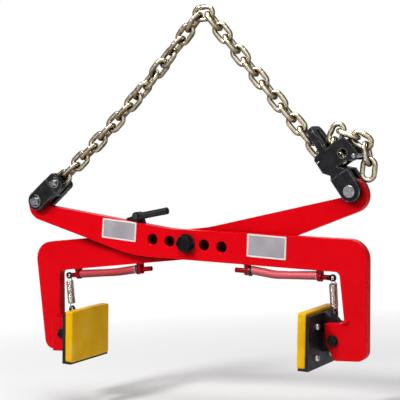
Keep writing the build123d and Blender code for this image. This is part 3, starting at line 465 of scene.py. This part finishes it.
for side in jaws:
    heads = [button_head(side, rise, depth)
             for rise in screw_heights for depth in (-screw_spread, screw_spread)]
    screws = skin(f"{side}_button_screws", heads, zinc)
    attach(screws, f"{side}_grip")
    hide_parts(f"{side}_pad_screws")

# Grip pads: blocks of yellow polyurethane cast in open moulds, with rounded edges.
# Each is screwed to its bracket, and pale stone dust sits in its scuffs and on its edges.
pad_yellow = (0.79, 0.465, 0.002)
pad_deep = (0.70, 0.375, 0.0015)
stone_dust = (0.62, 0.55, 0.42)
dust_in_scuffs = 0.22
dust_on_edges = 0.2
dust_width = 0.0018
pad_front = -0.052
pad_thickness = 0.018
pad_half_width = 0.070
pad_low = -0.050
pad_high = 0.056
corner_radius = 0.004
edge_round = 0.003
face_rings = np.array([0.9, 0.6, 0.3, 0.08])
face_least = 0.04


def cast_pad(side):
    """A slab of rounded outline: its rings shrink over a quarter circle at both edges, then to the middle."""
    half_rise = (pad_high - pad_low) / 2
    middle = (pad_high + pad_low) / 2
    bend = np.linspace(0, np.pi / 2, 7)
    inset = edge_round * (1 - np.sin(bend))
    lift = edge_round * (1 - np.cos(bend))
    face = face_rings * pad_half_width
    front = np.zeros(len(face))
    depth = np.concatenate([front, lift, (pad_thickness - lift)[::-1], front + pad_thickness])[:, None]
    draw = np.concatenate([face, inset, inset[::-1], face[::-1]])[:, None]
    angle = np.linspace(0, np.pi / 2, 6) + np.arange(4)[:, None] * np.pi / 2
    flip_across = np.array([1, -1, -1, 1])[:, None]
    flip_along = np.array([1, 1, -1, -1])[:, None]
    across = (flip_across * (pad_half_width - corner_radius) + corner_radius * np.cos(angle)).ravel()
    along = (flip_along * (half_rise - corner_radius) + corner_radius * np.sin(angle)).ravel()
    wide = across * (1 - draw / pad_half_width)
    tall = along * np.maximum(1 - draw / half_rise, face_least)
    return on_pad(side, pad_front + depth, middle + tall, wide)


def polyurethane(name):
    """Cast elastomer: amber yellow, deeper in patches, dusty in scuffs, a fine orange skin."""
    material, tree, shader = new_finish(name)
    cloud = clouds(tree, waves=22, detail=4, low=0.35, high=0.65)
    tone = between(tree, cloud, pad_deep, pad_yellow)
    scuff = clouds(tree, waves=38, detail=7, low=0.58, high=0.74, squeeze=(1, 1, 0.35))
    tone = between(tree, times(tree, scuff, dust_in_scuffs), tone, stone_dust)
    rub = times(tree, sharp_edges(tree, dust_width), dust_on_edges)
    shade(tree, shader, Base_Color=between(tree, rub, tone, stone_dust))
    shade(tree, shader, Roughness=gloss(tree, waves=60, smooth=0.36, rough=0.58))
    shade(tree, shader, Specular_IOR_Level=0.07)
    shade(tree, shader, Subsurface_Weight=0.08, Subsurface_Radius=(0.004, 0.002, 0.0005))
    relief(tree, shader, grain(tree, waves=420, detail=4), depth=0.00016)
    return material


yellow = polyurethane("yellow_polyurethane")
for side in jaws:
    pad = skin(f"{side}_cast_pad", [cast_pad(side)], yellow)
    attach(pad, f"{side}_grip")
    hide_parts(f"{side}_pad")

# Handle sleeves: soft red tube pushed over each spring rod for the hand, with a zinc ring at one end.
# The tube is a little loose, so it waves along the rod. Its top is painted pale as light and its
# underside deep red as shade, the front sleeve's top paler than the rear one's.
# The rods take the lugs' deeper red, painted as shade, and are black at both ends.
# Painted light and shade: deep red beneath, pale tones on top, paler on the front sleeve.
sleeve_red = (0.12, 0.005, 0.008)
sleeve_lit_tone = {"front": (0.80, 0.115, 0.138), "rear": (0.58, 0.045, 0.060)}
lit_faces = (-0.85, 0.15)
sleeve_radius = 0.0082
sleeve_span = (0.139, 0.280)
sleeve_rim = 0.015
rim_radius = 0.72
wave_depth = 0.035
wave_rate = 7.5
wave_start = 0.6
rod_drop = 0.013
rod_eye = 0.3095
# Each end of a rod along the beam, and how far the black reaches about it.
rod_ends = ((0.100, 0.0058), (rod_eye, 0.0085))
rod_end_fade = 0.85
kink = 0.38
kink_drop = 0.0028
kink_width = 0.05
kink_slopes = (0.0155, 0.0088)
slack = {"front": 1.0, "rear": 0.5}
# Each ring along the beam, and how far it lies above the rod's middle.
ring_places = {"front": (0.2782, 0.0022), "rear": (0.1408, 0.0012)}
ring_radius = 0.0081
ring_section = 0.0011


def round_ends(t, length, least=0.0):
    """Share of the radius along a piece: 1, falling in a quarter circle over the length of each end."""
    past = ((np.abs(t - 0.5) - (0.5 - length)) / length).clip(0)
    return np.sqrt(np.clip(1 - past**2, least, 1))


def loose_sleeve(side):
    """A tube along the rod that hangs lowest at a soft kink, its radius waving, with rolled rims."""
    t = np.linspace(0, 1, 60)[:, None]
    wave = 1 + wave_depth * np.sin(wave_rate * t + wave_start)
    rim = rim_radius + (1 - rim_radius) * round_ends(t, sleeve_rim)
    radius = sleeve_radius * wave * rim
    climb = np.where(t < kink, *kink_slopes) * (np.hypot(t - kink, kink_width) - kink_width)
    along = sleeve_span[0] + t * (sleeve_span[1] - sleeve_span[0])
    turn = circle(28)
    drop = rod_drop + slack[side] * (kink_drop - climb) - radius * np.cos(turn)
    return under_beam(jaws[side], along, drop, plate_mid + radius * np.sin(turn))


def end_ring(side):
    """A ring of round section about the rod: one circle of turns for the ring, one for its section."""
    along, lift = ring_places[side]
    about = circle(40)[:, None]
    section = circle(12)
    radius = ring_radius + ring_section * np.cos(section)
    drop = rod_drop - lift - radius * np.cos(about)
    depth = plate_mid + radius * np.sin(about)
    return under_beam(jaws[side], along + ring_section * np.sin(section), drop, depth)


def soft_tube(name, pale):
    """Plasticised tube: painted pale on top as light, deep red beneath as shade, glossy, faintly wrinkled
    around.
    """
    material, tree, shader = new_finish(name)
    patchy = clouds(tree, waves=26, detail=3, low=0.35, high=0.7, start=0.86, end=1.0, squeeze=(1, 1, 2))
    # Painted light: faces turned up take the pale tone in soft patches.
    painted_light = times(tree, remap(tree, facing_up(tree), *lit_faces), patchy)
    shade(tree, shader, Base_Color=between(tree, painted_light, sleeve_red, pale))
    shade(tree, shader, Roughness=gloss(tree, waves=80, smooth=0.34, rough=0.46, detail=3))
    shade(tree, shader, Specular_IOR_Level=0.4)
    relief(tree, shader, grain(tree, waves=240, squeeze=(1, 0.3, 0.3)), depth=0.00006)
    return material


def blacken(material, spots):
    """Turn a coat black around spots, each with the reach of the black about it."""
    tree = material.node_tree
    shader = tree.nodes["Principled BSDF"]
    for spot, reach in spots:
        tone = shader.inputs["Base Color"].links[0].from_socket
        gap = vectors(tree, "DISTANCE", object_place(tree), spot)["Value"]
        black = remap(tree, gap, reach, rod_end_fade * reach)
        shade(tree, shader, Base_Color=between(tree, black, tone, black_tone))


for side, jaw in jaws.items():
    rod_shaded_coat = powder_coat(f"{side}_rod_shaded_coat", lug_shade_red)
    blacken(rod_shaded_coat, [(under_beam(jaw, along, rod_drop, plate_mid), reach) for along, reach in rod_ends])
    dress([f"{side}_spring_rod"], rod_shaded_coat)
for side in jaws:
    sleeve_finish = soft_tube(f"{side}_red_sleeve", sleeve_lit_tone[side])
    sleeve = skin(f"{side}_handle_sleeve", [loose_sleeve(side)], sleeve_finish)
    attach(sleeve, f"{side}_jaw")
    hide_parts(f"{side}_rod_sleeve")
    ring = skin(f"{side}_sleeve_ring", [end_ring(side)], zinc, wrap=True)
    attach(ring, f"{side}_jaw")

# Pad springs: close-wound extension springs of bright wire with a hook at each end.
# They hang from the rod's eye and pull the pad's tab.
wire = 0.002
wire_sides = 10
wire_start = (0.3, 0.5, 0.8)
coil_radius = 0.007
coil_turns = 21.25
coil_steps = 28
coil_start = np.radians(-45)
hook_radius = 0.0054
coil_inset = 0.0125
hook_tail = 0.004
lead_steps = 12
tab_hole = (-0.008, 0.050)
ear_depth = -0.0055
spring_tone = (0.74, 0.66, 0.60)


def unit(way):
    """The direction of a vector, or of each of many, at length 1."""
    return way / np.linalg.norm(way, axis=-1, keepdims=True)


def smooth_run(start, leave, end, arrive, count):
    """A cubic from start to end that leaves and arrives along the given directions."""
    t = np.linspace(0, 1, count, endpoint=False)[:, None]
    pull = np.linalg.norm(end - start)
    return ((2 * t**3 - 3 * t**2 + 1) * start + (t**3 - 2 * t**2 + t) * leave * pull
            + (3 * t**2 - 2 * t**3) * end + (t**3 - t**2) * arrive * pull)


def spring_line(low, high):
    """Hook, lead-in, helix, lead-out and hook between two eyes, as one line of points."""
    span = np.linalg.norm(high - low)
    up = (high - low) / span
    across = unit(np.cross(sideways, up))
    deep = np.cross(up, across)
    steps = int(coil_turns * coil_steps)
    turn = coil_start + np.linspace(0, 2 * np.pi * coil_turns, steps)[:, None]
    climb = np.linspace(coil_inset, span - coil_inset, steps)[:, None]
    coil = low + coil_radius * (np.cos(turn) * across + np.sin(turn) * deep) + climb * up
    bend = np.linspace(0, np.pi, 20)[:, None]
    curve = hook_radius * (np.cos(bend) * deep + (1 - np.sin(bend)) * up)
    tail = hook_radius * (deep + up) + np.linspace(hook_tail, 0, 5, endpoint=False)[:, None] * up
    hook = np.concatenate([tail, curve])
    low_hook = low + hook
    high_hook = (high - hook)[::-1]
    lead_in = smooth_run(low_hook[-1], up, coil[0], unit(coil[1] - coil[0]), lead_steps)
    lead_out = smooth_run(coil[-1], unit(coil[-1] - coil[-2]), high_hook[0], up, lead_steps)
    return np.concatenate([low_hook[:-1], lead_in, coil[:-1], lead_out, high_hook])


def round_wire(line, radius, sides):
    """Rings square to the line, each turned from the last with no twist."""
    way = unit(np.gradient(line, axis=0))
    normal = np.cross(way[0], wire_start)
    normals = []
    for direction in way:
        normal = unit(normal - direction * (normal @ direction))
        normals.append(normal)
    normals = np.array(normals)
    other = np.cross(way, normals)
    turn = circle(sides)[:, None]
    return line[:, None] + radius * (np.cos(turn) * normals[:, None] + np.sin(turn) * other[:, None])


spring_steel = bright_metal("spring_wire", spring_tone, toned(spring_tone, share=0.6), smooth=0.2, rough=0.34)
for side, jaw in jaws.items():
    low = on_pad(side, tab_hole[0], tab_hole[1], -jaw * ear_depth)
    high = under_beam(jaw, rod_eye, rod_drop, plate_mid)
    coiled = round_wire(spring_line(low, high), wire / 2, wire_sides)
    spring = skin(f"{side}_coil_spring", [coiled], spring_steel)
    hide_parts(f"{side}_pad_spring")
    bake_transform(spring)

# Label plates: thin foil plates, left blank, with a grey rule inside a pale printed border.
# They are brushed along their length and stuck flat on the front arm.
label_border = 0.0032
rule_near = 0.0004
rule_far = 0.0012
print_blur = 0.0001
foil = (0.36, 0.335, 0.36)
foil_pale = (0.50, 0.47, 0.50)
border_white = (0.76, 0.70, 0.69)
rule_grey = (0.30, 0.29, 0.30)
# Width and height of each plate, and its slope in degrees.
label_sizes = {"label_plate_small": (0.0810, 0.0405, -7.5), "label_plate_large": (0.0835, 0.0450, -5.2)}


def blank_label(name, wide, tall, slope):
    """Brushed foil, a thin grey rule and a pale border, by the larger distance past the field's edge."""
    material, tree, shader = new_finish(name)
    low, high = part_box(name)
    centred = vectors(tree, "SUBTRACT", object_place(tree), (low + high) / 2)[0]
    turn = {"Vector": centred, "Rotation": (0, np.radians(slope), 0)}
    turned = add_node(tree, "ShaderNodeMapping", turn).outputs[0]
    parts = add_node(tree, "ShaderNodeSeparateXYZ", {0: turned}).outputs
    past = [maths(tree, "SUBTRACT", maths(tree, "ABSOLUTE", parts[axis]), full / 2 - label_border)
            for axis, full in (("X", wide), ("Z", tall))]
    edge = maths(tree, "MAXIMUM", *past)
    border = remap(tree, edge, -print_blur, print_blur)
    beyond_far = remap(tree, edge, -rule_far - print_blur, -rule_far)
    before_near = remap(tree, edge, -rule_near, -rule_near - print_blur)
    brushed = clouds(tree, waves=1600, detail=2, low=0.3, high=0.7, squeeze=(0.02, 1, 1))
    cloud = clouds(tree, waves=18, detail=3, low=0.35, high=0.62)
    bright = times(tree, remap(tree, brushed, 0, 1, start=0.6, end=1), cloud)
    tone = between(tree, bright, foil, foil_pale)
    tone = between(tree, times(tree, beyond_far, before_near), tone, rule_grey)
    shade(tree, shader, Base_Color=between(tree, border, tone, border_white))
    shade(tree, shader, Metallic=remap(tree, border, 0, 1, start=0.35, end=0.0))
    shade(tree, shader, Roughness=remap(tree, brushed, 0, 1, start=0.34, end=0.48))
    relief(tree, shader, brushed, depth=0.00002)
    return material


for name, size in label_sizes.items():
    dress([name], blank_label(name, *size))

# Latch: a black lug and lever on a dull zinc shaft, with a dipped black hand grip.
# The lever works the dull zinc pawl behind the arm, which holds the jaws open.
dress(["latch_lug", "latch_lever"], bracket_black)
dress(["latch_shaft", "latch_pawl"], dull_zinc)
latch = np.array(joints["latch_swing"]["pos_m"])
grip_black = (0.006, 0.006, 0.0065)
grip_radius = 0.00775
grip_span = (0.013, 0.0758)
grip_slope = np.radians(8.5)
grip_depth = 0.01475
grip_body = 0.935
grip_waist = 0.02
rim_place = 0.03
rim_height = 0.06
rim_width = 0.02
rings_span = (0.72, 0.945)
rings_pitch = 0.045
rings_depth = 0.035
rings_width = 0.006
dome_from = 0.955
root_length = 0.012
root_least = 0.85
handled_gain = 2.4


def hand_grip():
    """A turned grip: a rolled rim at the root, a slight waist, five finger rings and a domed end."""
    t = np.linspace(0, 1, 90)[:, None]
    rim = rim_height * np.exp(-((t - rim_place) / rim_width) ** 2)
    groove = np.mod(t - rings_span[0], rings_pitch) - rings_pitch / 2
    ringed = (t > rings_span[0]) & (t < rings_span[1])
    rings = rings_depth * np.exp(-((groove / rings_width) ** 2)) * ringed
    dome = np.sqrt(np.clip(1 - ((t - dome_from) / (1 - dome_from)).clip(0) ** 2, 0.0, 1))
    root = np.clip(t / root_length, root_least, 1)
    radius = grip_radius * (grip_body + rim - rings - grip_waist * np.sin(np.pi * t)) * dome * root
    along = grip_span[0] + t * (grip_span[1] - grip_span[0])
    turn = circle(36)
    up = radius * np.cos(turn)
    x = along * np.cos(grip_slope) - up * np.sin(grip_slope)
    z = along * np.sin(grip_slope) + up * np.cos(grip_slope)
    y = -grip_depth + radius * np.sin(turn)
    return latch + np.stack([x, y, z], -1)


def dipped_grip(name):
    """Dipped rubber: black, half gloss, with fine pores and dull handled patches."""
    material, tree, shader = new_finish(name)
    handled = clouds(tree, waves=70, detail=4, low=0.4, high=0.65)
    shade(tree, shader, Base_Color=between(tree, handled, grip_black, toned(grip_black, handled_gain)))
    shade(tree, shader, Roughness=remap(tree, handled, 0, 1, start=0.36, end=0.52))
    shade(tree, shader, Specular_IOR_Level=0.22)
    relief(tree, shader, grain(tree, waves=1300, detail=2), depth=0.00008)
    return material


grip_rubber = dipped_grip("black_grip_rubber")
grip = skin("latch_hand_grip", [hand_grip()], grip_rubber)
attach(grip, "latch")
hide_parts("latch_grip")

# Chain: ten millimetre round bar bent into links, butt welded on one long side.
# It is zinc plated and yellow passivated, pale gold, with painted shade on the undersides
# and brown grime with painted shade in the crannies where the links rub.
bar = 0.010
bar_sides = 20
link_bow = 0.012
link_straight = 0.008
straight_steps = 20
bow_steps = 22
weld_side = (0.2, -1, 0.4)
weld_straight = 0.9
weld_swell = 0.09
weld_length = 0.0045
chain_pale = (0.95, 0.87, 0.70)
chain_gold = (0.70, 0.60, 0.41)
chain_rim = (0.16, 0.12, 0.07)
# Brown of the crannies between links: grime with painted shade.
cranny_grime_and_shade = (0.055, 0.035, 0.016)
# Painted shade on faces turned downwards.
chain_underside_shade = (0.13, 0.10, 0.06)
shaded_faces = (-0.1, -0.34)
cranny_reach = 0.012
cranny_sky = (0.66, 0.2)
chains = {"top_link": "hanger", "left_chain": "left_leg", "right_chain": "right_leg",
          "tail_chain": "right_leg"}


def solids_of(node):
    """Points of each solid of a node: corners that share a place or a face take the least number around."""
    mesh = nodes[node].data
    points = np.zeros(len(mesh.vertices) * 3)
    mesh.vertices.foreach_get("co", points)
    mesh.calc_loop_triangles()
    triangles = np.zeros(len(mesh.loop_triangles) * 3, int)
    mesh.loop_triangles.foreach_get("vertices", triangles)
    places, same = np.unique(np.round(points.reshape(-1, 3), 6), axis=0, return_inverse=True)
    triangles = same.reshape(-1)[triangles].reshape(-1, 3)
    label = np.arange(len(places))
    changed = True
    while changed:
        least = label[triangles].min(1)
        lower = label.copy()
        np.minimum.at(lower, triangles.ravel(), np.repeat(least, 3))
        lower = lower[lower]
        changed = (lower != label).any()
        label = lower
    return [places[label == one] for one in np.unique(label)]


def link_axes(points):
    """Middle, long axis and cross axis of a link, from the spread of its points."""
    spread = points - points.mean(0)
    axes = np.linalg.svd(spread, full_matrices=False)[2]
    reach = spread @ axes.T
    middle = points.mean(0) + ((reach.max(0) + reach.min(0)) / 2) @ axes
    across = axes[1] if axes[1] @ weld_side > 0 else -axes[1]
    return middle, axes[0], across


def welded_link(points):
    """A ring of bar: a straight and a bow, both again half a turn on, thicker at the weld in one straight."""
    middle, long, across = link_axes(points)
    straight = np.linspace(-link_straight, link_straight, straight_steps, endpoint=False)
    bow = np.linspace(0, np.pi, bow_steps, endpoint=False)
    flat = np.zeros(straight_steps)
    half = np.stack([
        np.concatenate([straight, link_straight + link_bow * np.sin(bow)]),
        np.concatenate([flat, np.sin(bow)]),
        np.concatenate([flat - 1, -np.cos(bow)]),
    ])
    place, out_long, out_across = np.concatenate([half, -half], 1)[..., None]
    line = middle + place * long + link_bow * out_across * across
    outward = out_long * long + out_across * across
    at_weld = (out_across > weld_straight) * np.exp(-((place / weld_length) ** 2))
    radius = bar / 2 * (1 + weld_swell * at_weld)
    turn = circle(bar_sides)[:, None]
    ring = np.cos(turn) * outward[:, None] + np.sin(turn) * np.cross(long, across)
    return line[:, None] + radius[:, None] * ring


def passivated(name):
    """Yellow zinc: pale and deeper gold in clouds, painted shade beneath, brown grime and painted shade in
    the crannies.
    """
    material, tree, shader = new_finish(name)
    cloud = clouds(tree, waves=95, detail=4, low=0.36, high=0.64)
    tone = between(tree, cloud, chain_gold, chain_pale)
    # Painted shade: faces turned downwards darken in patches.
    shade_patches = clouds(tree, waves=60, detail=3, low=0.3, high=0.6, start=0.7, end=1.0)
    underside_shade = times(tree, remap(tree, facing_up(tree), *shaded_faces), shade_patches)
    tone = between(tree, underside_shade, tone, chain_underside_shade)
    # Brown grime with painted shade where the links crowd one another.
    look = {"Distance": cranny_reach}
    sky = add_node(tree, "ShaderNodeAmbientOcclusion", look, samples=6).outputs["AO"]
    cranny_patches = clouds(tree, waves=300, detail=3, low=0.3, high=0.6, start=0.6, end=0.9)
    cranny = times(tree, remap(tree, sky, *cranny_sky), cranny_patches)
    shade(tree, shader, Base_Color=between(tree, cranny, tone, cranny_grime_and_shade))
    shade(tree, shader, Metallic=0.95, Specular_Tint=chain_rim)
    shade(tree, shader, Roughness=gloss(tree, waves=220, smooth=0.17, rough=0.3))
    relief(tree, shader, grain(tree, waves=600, detail=2), depth=0.00003)
    return material


gold_chain = passivated("yellow_passivated_chain")
for node, body in chains.items():
    links = skin(f"{node}_links", [welded_link(points) for points in solids_of(node)], gold_chain, wrap=True)
    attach(links, body)
    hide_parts(node)

# Clevis and shortening clutch: drop forgings with soft edges, blackened, the edges paler: partly rubbed bare,
# partly painted highlight.
# Bright zinc pins with circlips hold them to the arms and to the chain, and a small
# spring pin lies across the boss of the clutch.
forged_tone = (0.0085, 0.0085, 0.0095)
# Grey of the forgings' edges: partly rubbed steel, partly painted highlight.
forged_rub_and_sheen = (0.34, 0.34, 0.36)
forged = black_oxide("forged_black", forged_tone, bumps=420, depth=0.00022,
                     smooth=0.3, rough=0.52, pale_edge=forged_rub_and_sheen, edge_reach=0.0032)
dress(["clevis", "clutch"], forged)
dress(["clevis_arm_pin", "clevis_chain_pin", "clutch_arm_pin", "lock_pin"], zinc)
dress(["clevis_arm_circlip", "clevis_chain_circlip", "clutch_arm_circlip"], zinc)
forging_round = 0.0016
forging_steps = 3
forging_corner = np.radians(40)
join_gap = 1e-6
clutch_pin = np.array(joints["rear_lever_pin"]["pos_m"])
clutch_lean = np.radians(122.62)
clutch_way = np.array([np.cos(clutch_lean), 0, np.sin(clutch_lean)])
clutch_side = np.array([np.sin(clutch_lean), 0, -np.cos(clutch_lean)])
boss_pin = ((0.080, -0.0245), (0.080, -0.0165))
boss_face = -0.015
boss_pin_radius = 0.0014
boss_pin_dome = 0.1
boss_pin_least = 0.02


def soften(name):
    """Round a forging's sharp edges: join the loose triangles, then bevel what turns sharply."""
    join = nodes[name].modifiers.new("join", "WELD")
    join.merge_threshold = join_gap
    ease = nodes[name].modifiers.new("ease", "BEVEL")
    ease.width = forging_round
    ease.segments = forging_steps
    ease.limit_method = "ANGLE"
    ease.angle_limit = forging_corner


def spring_pin():
    """A round pin with domed ends lying across the clutch's boss."""
    ends = np.array([clutch_pin + along * clutch_way + off * clutch_side for along, off in boss_pin])
    ends[:, 1] = boss_face
    t = np.linspace(0, 1, 24)[:, None, None]
    radius = boss_pin_radius * round_ends(t, boss_pin_dome, boss_pin_least)
    turn = circle(16)[:, None]
    ring = np.cos(turn) * clutch_way + np.sin(turn) * sideways
    return ends[0] + t * (ends[1] - ends[0]) + radius * ring


soften("clevis")
soften("clutch")
pin = skin("clutch_spring_pin", [spring_pin()], zinc)
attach(pin, "right_leg")

# Lock knob: moulded black plastic, fluted for the fingers, pressed on the lock pin.
# Pulling it towards the back frees the chain in the clutch.
flutes = 10
flute_depth = 0.07
knob_round = 0.12
knob_end_radius = 0.35
knob_black = (0.012, 0.012, 0.013)
knob_cloud_gain = 1.8


def fluted_knob():
    """A turned knob whose wall waves with the flutes, which run out at its rounded ends."""
    low, high = (np.array(corner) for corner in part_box("lock_knob"))
    middle = (low + high) / 2
    t = np.linspace(0, 1, 40)[:, None]
    ends = round_ends(t, knob_round)
    turn = circle(120)
    run_out = np.clip(ends - 0.5, 0, 1) * 2
    grooves = 1 - flute_depth * np.clip(np.cos(flutes * turn), 0, 1) ** 2 * run_out
    wall = (high[0] - low[0]) / 2 * (knob_end_radius + (1 - knob_end_radius) * ends) * grooves
    x = middle[0] + wall * np.cos(turn)
    y = low[1] + t * (high[1] - low[1])
    z = middle[2] + wall * np.sin(turn)
    return np.stack(np.broadcast_arrays(x, y, z), -1)


def moulded(name):
    """Moulded plastic: black, glossy, faintly cloudy, with fine mould grain."""
    material, tree, shader = new_finish(name)
    cloud = clouds(tree, waves=120, detail=3, low=0.4, high=0.65)
    shade(tree, shader, Base_Color=between(tree, cloud, knob_black, toned(knob_black, knob_cloud_gain)))
    shade(tree, shader, Roughness=remap(tree, cloud, 0, 1, start=0.22, end=0.36))
    relief(tree, shader, grain(tree, waves=1500, detail=2), depth=0.00004)
    return material


knob = skin("lock_pull_knob", [fluted_knob()], moulded("black_knob_plastic"))
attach(knob, "lock")
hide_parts("lock_knob")

# Floor: a pale matt sheet under the hanging clamp, low enough for the jaws to close.
# It fades to plain white away from the clamp, so that no horizon shows.
floor_gap = 0.095
floor_white = (0.86, 0.86, 0.86)
floor_reach = 6.0
floor_fade = (0.45, 1.5)
floor_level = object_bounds()[0].z - floor_gap
floor_mesh = bpy.data.meshes.new("floor")
square = np.array([(-1, -1), (1, -1), (1, 1), (-1, 1)]) * floor_reach
floor_mesh.from_pydata([(x, y, floor_level) for x, y in square], [], [(0, 1, 2, 3)])
floor_finish, tree, shader = new_finish("pale_floor")
shade(tree, shader, Base_Color=floor_white, Roughness=0.9, Specular_IOR_Level=0.1)
across_floor = vectors(tree, "MULTIPLY", object_place(tree), (1, 1, 0))[0]
far = vectors(tree, "LENGTH", across_floor)["Value"]
rays = add_node(tree, "ShaderNodeLightPath").outputs
faded = times(tree, remap(tree, far, *floor_fade), rays["Is Camera Ray"])
white = add_node(tree, "ShaderNodeEmission", {"Strength": 1.0}).outputs[0]
mixed = add_node(tree, "ShaderNodeMixShader", {0: faded, 1: shader.outputs[0], 2: white}).outputs[0]
feed(tree, tree.nodes["Material Output"].inputs["Surface"], mixed)
floor_mesh.materials.append(floor_finish)
floor = place_object("floor", floor_mesh)

# Light: a room that is plain white to the camera and dim around the clamp.
# Bright metal mirrors the white behind the clamp and a pale panel in front, above the camera.
# Three square soft boxes light the clamp: from the left, from the right and from above.
world_level = 0.14
room_level = 0.07
panel_level = 0.95
camera_way = (0.48, -0.88, 0.0)
backdrop_edge = (-0.9, -0.6)
panel_way = (0.2, -0.85, 0.48)
panel_edge = (0.72, 0.92)
lamp_aim = (-0.05, 0.0, -0.40)
lamps = {
    "key": {"place": (-1.2, -2.4, 1.7), "size": 0.7, "power": 79},
    "fill": {"place": (2.4, -1.6, 0.4), "size": 1.8, "power": 5},
    "top": {"place": (0.1, -0.35, 2.2), "size": 1.6, "power": 56},
}
world = bpy.data.worlds.new("studio")
bpy.context.scene.world = world
world.use_nodes = True
tree = world.node_tree
rays = add_node(tree, "ShaderNodeLightPath").outputs
way = add_node(tree, "ShaderNodeTexCoord").outputs["Generated"]
behind = vectors(tree, "DOT_PRODUCT", way, camera_way)["Value"]
backdrop = remap(tree, behind, *backdrop_edge, start=1.0, end=room_level)
ahead = vectors(tree, "DOT_PRODUCT", way, panel_way)["Value"]
panel = remap(tree, ahead, *panel_edge, start=0.0, end=panel_level)
mirrored = maths(tree, "MAXIMUM", rays["Is Glossy Ray"], rays["Is Transmission Ray"])
level = remap(tree, mirrored, 0, 1, start=world_level, end=maths(tree, "MAXIMUM", backdrop, panel))
level = remap(tree, rays["Is Camera Ray"], 0, 1, start=level, end=1.0)
shade(tree, tree.nodes["Background"], Color=(1, 1, 1), Strength=level)
for name, lamp in lamps.items():
    light = bpy.data.lights.new(name, "AREA")
    light.size = lamp["size"]
    light.energy = lamp["power"]
    soft_box = place_object(name, light)
    soft_box.location = lamp["place"]
    aim = Vector(lamp_aim) - Vector(lamp["place"])
    soft_box.rotation_euler = aim.to_track_quat("-Z", "Y").to_euler()

# Camera: in front and to the right, a little above the pivot, with a long lens.
# Its place, its turns and its lens were fitted to points of the photograph.
camera_place = pivot + (1.2789, -2.2899, 0.2021)
yaw, pitch, roll = np.radians((28.71, 2.58, -2.96))
lens = 117.8
sensor_width = 36.0
back = np.array([np.sin(yaw) * np.cos(pitch), -np.cos(yaw) * np.cos(pitch), np.sin(pitch)])
right = np.array([np.cos(yaw), np.sin(yaw), 0.0])
up = np.cross(back, right)
turned_right = np.cos(roll) * right + np.sin(roll) * up
turned_up = np.cos(roll) * up - np.sin(roll) * right
pose = np.eye(4)
pose[:3] = np.stack([turned_right, turned_up, back, camera_place], 1)
camera_data = bpy.data.cameras.new("camera")
camera_data.lens = lens
camera_data.sensor_width = sensor_width
camera = place_object("camera", camera_data)
camera.matrix_world = Matrix(pose.tolist())
bpy.context.scene.camera = camera
bpy.context.scene.view_settings.view_transform = "Standard"
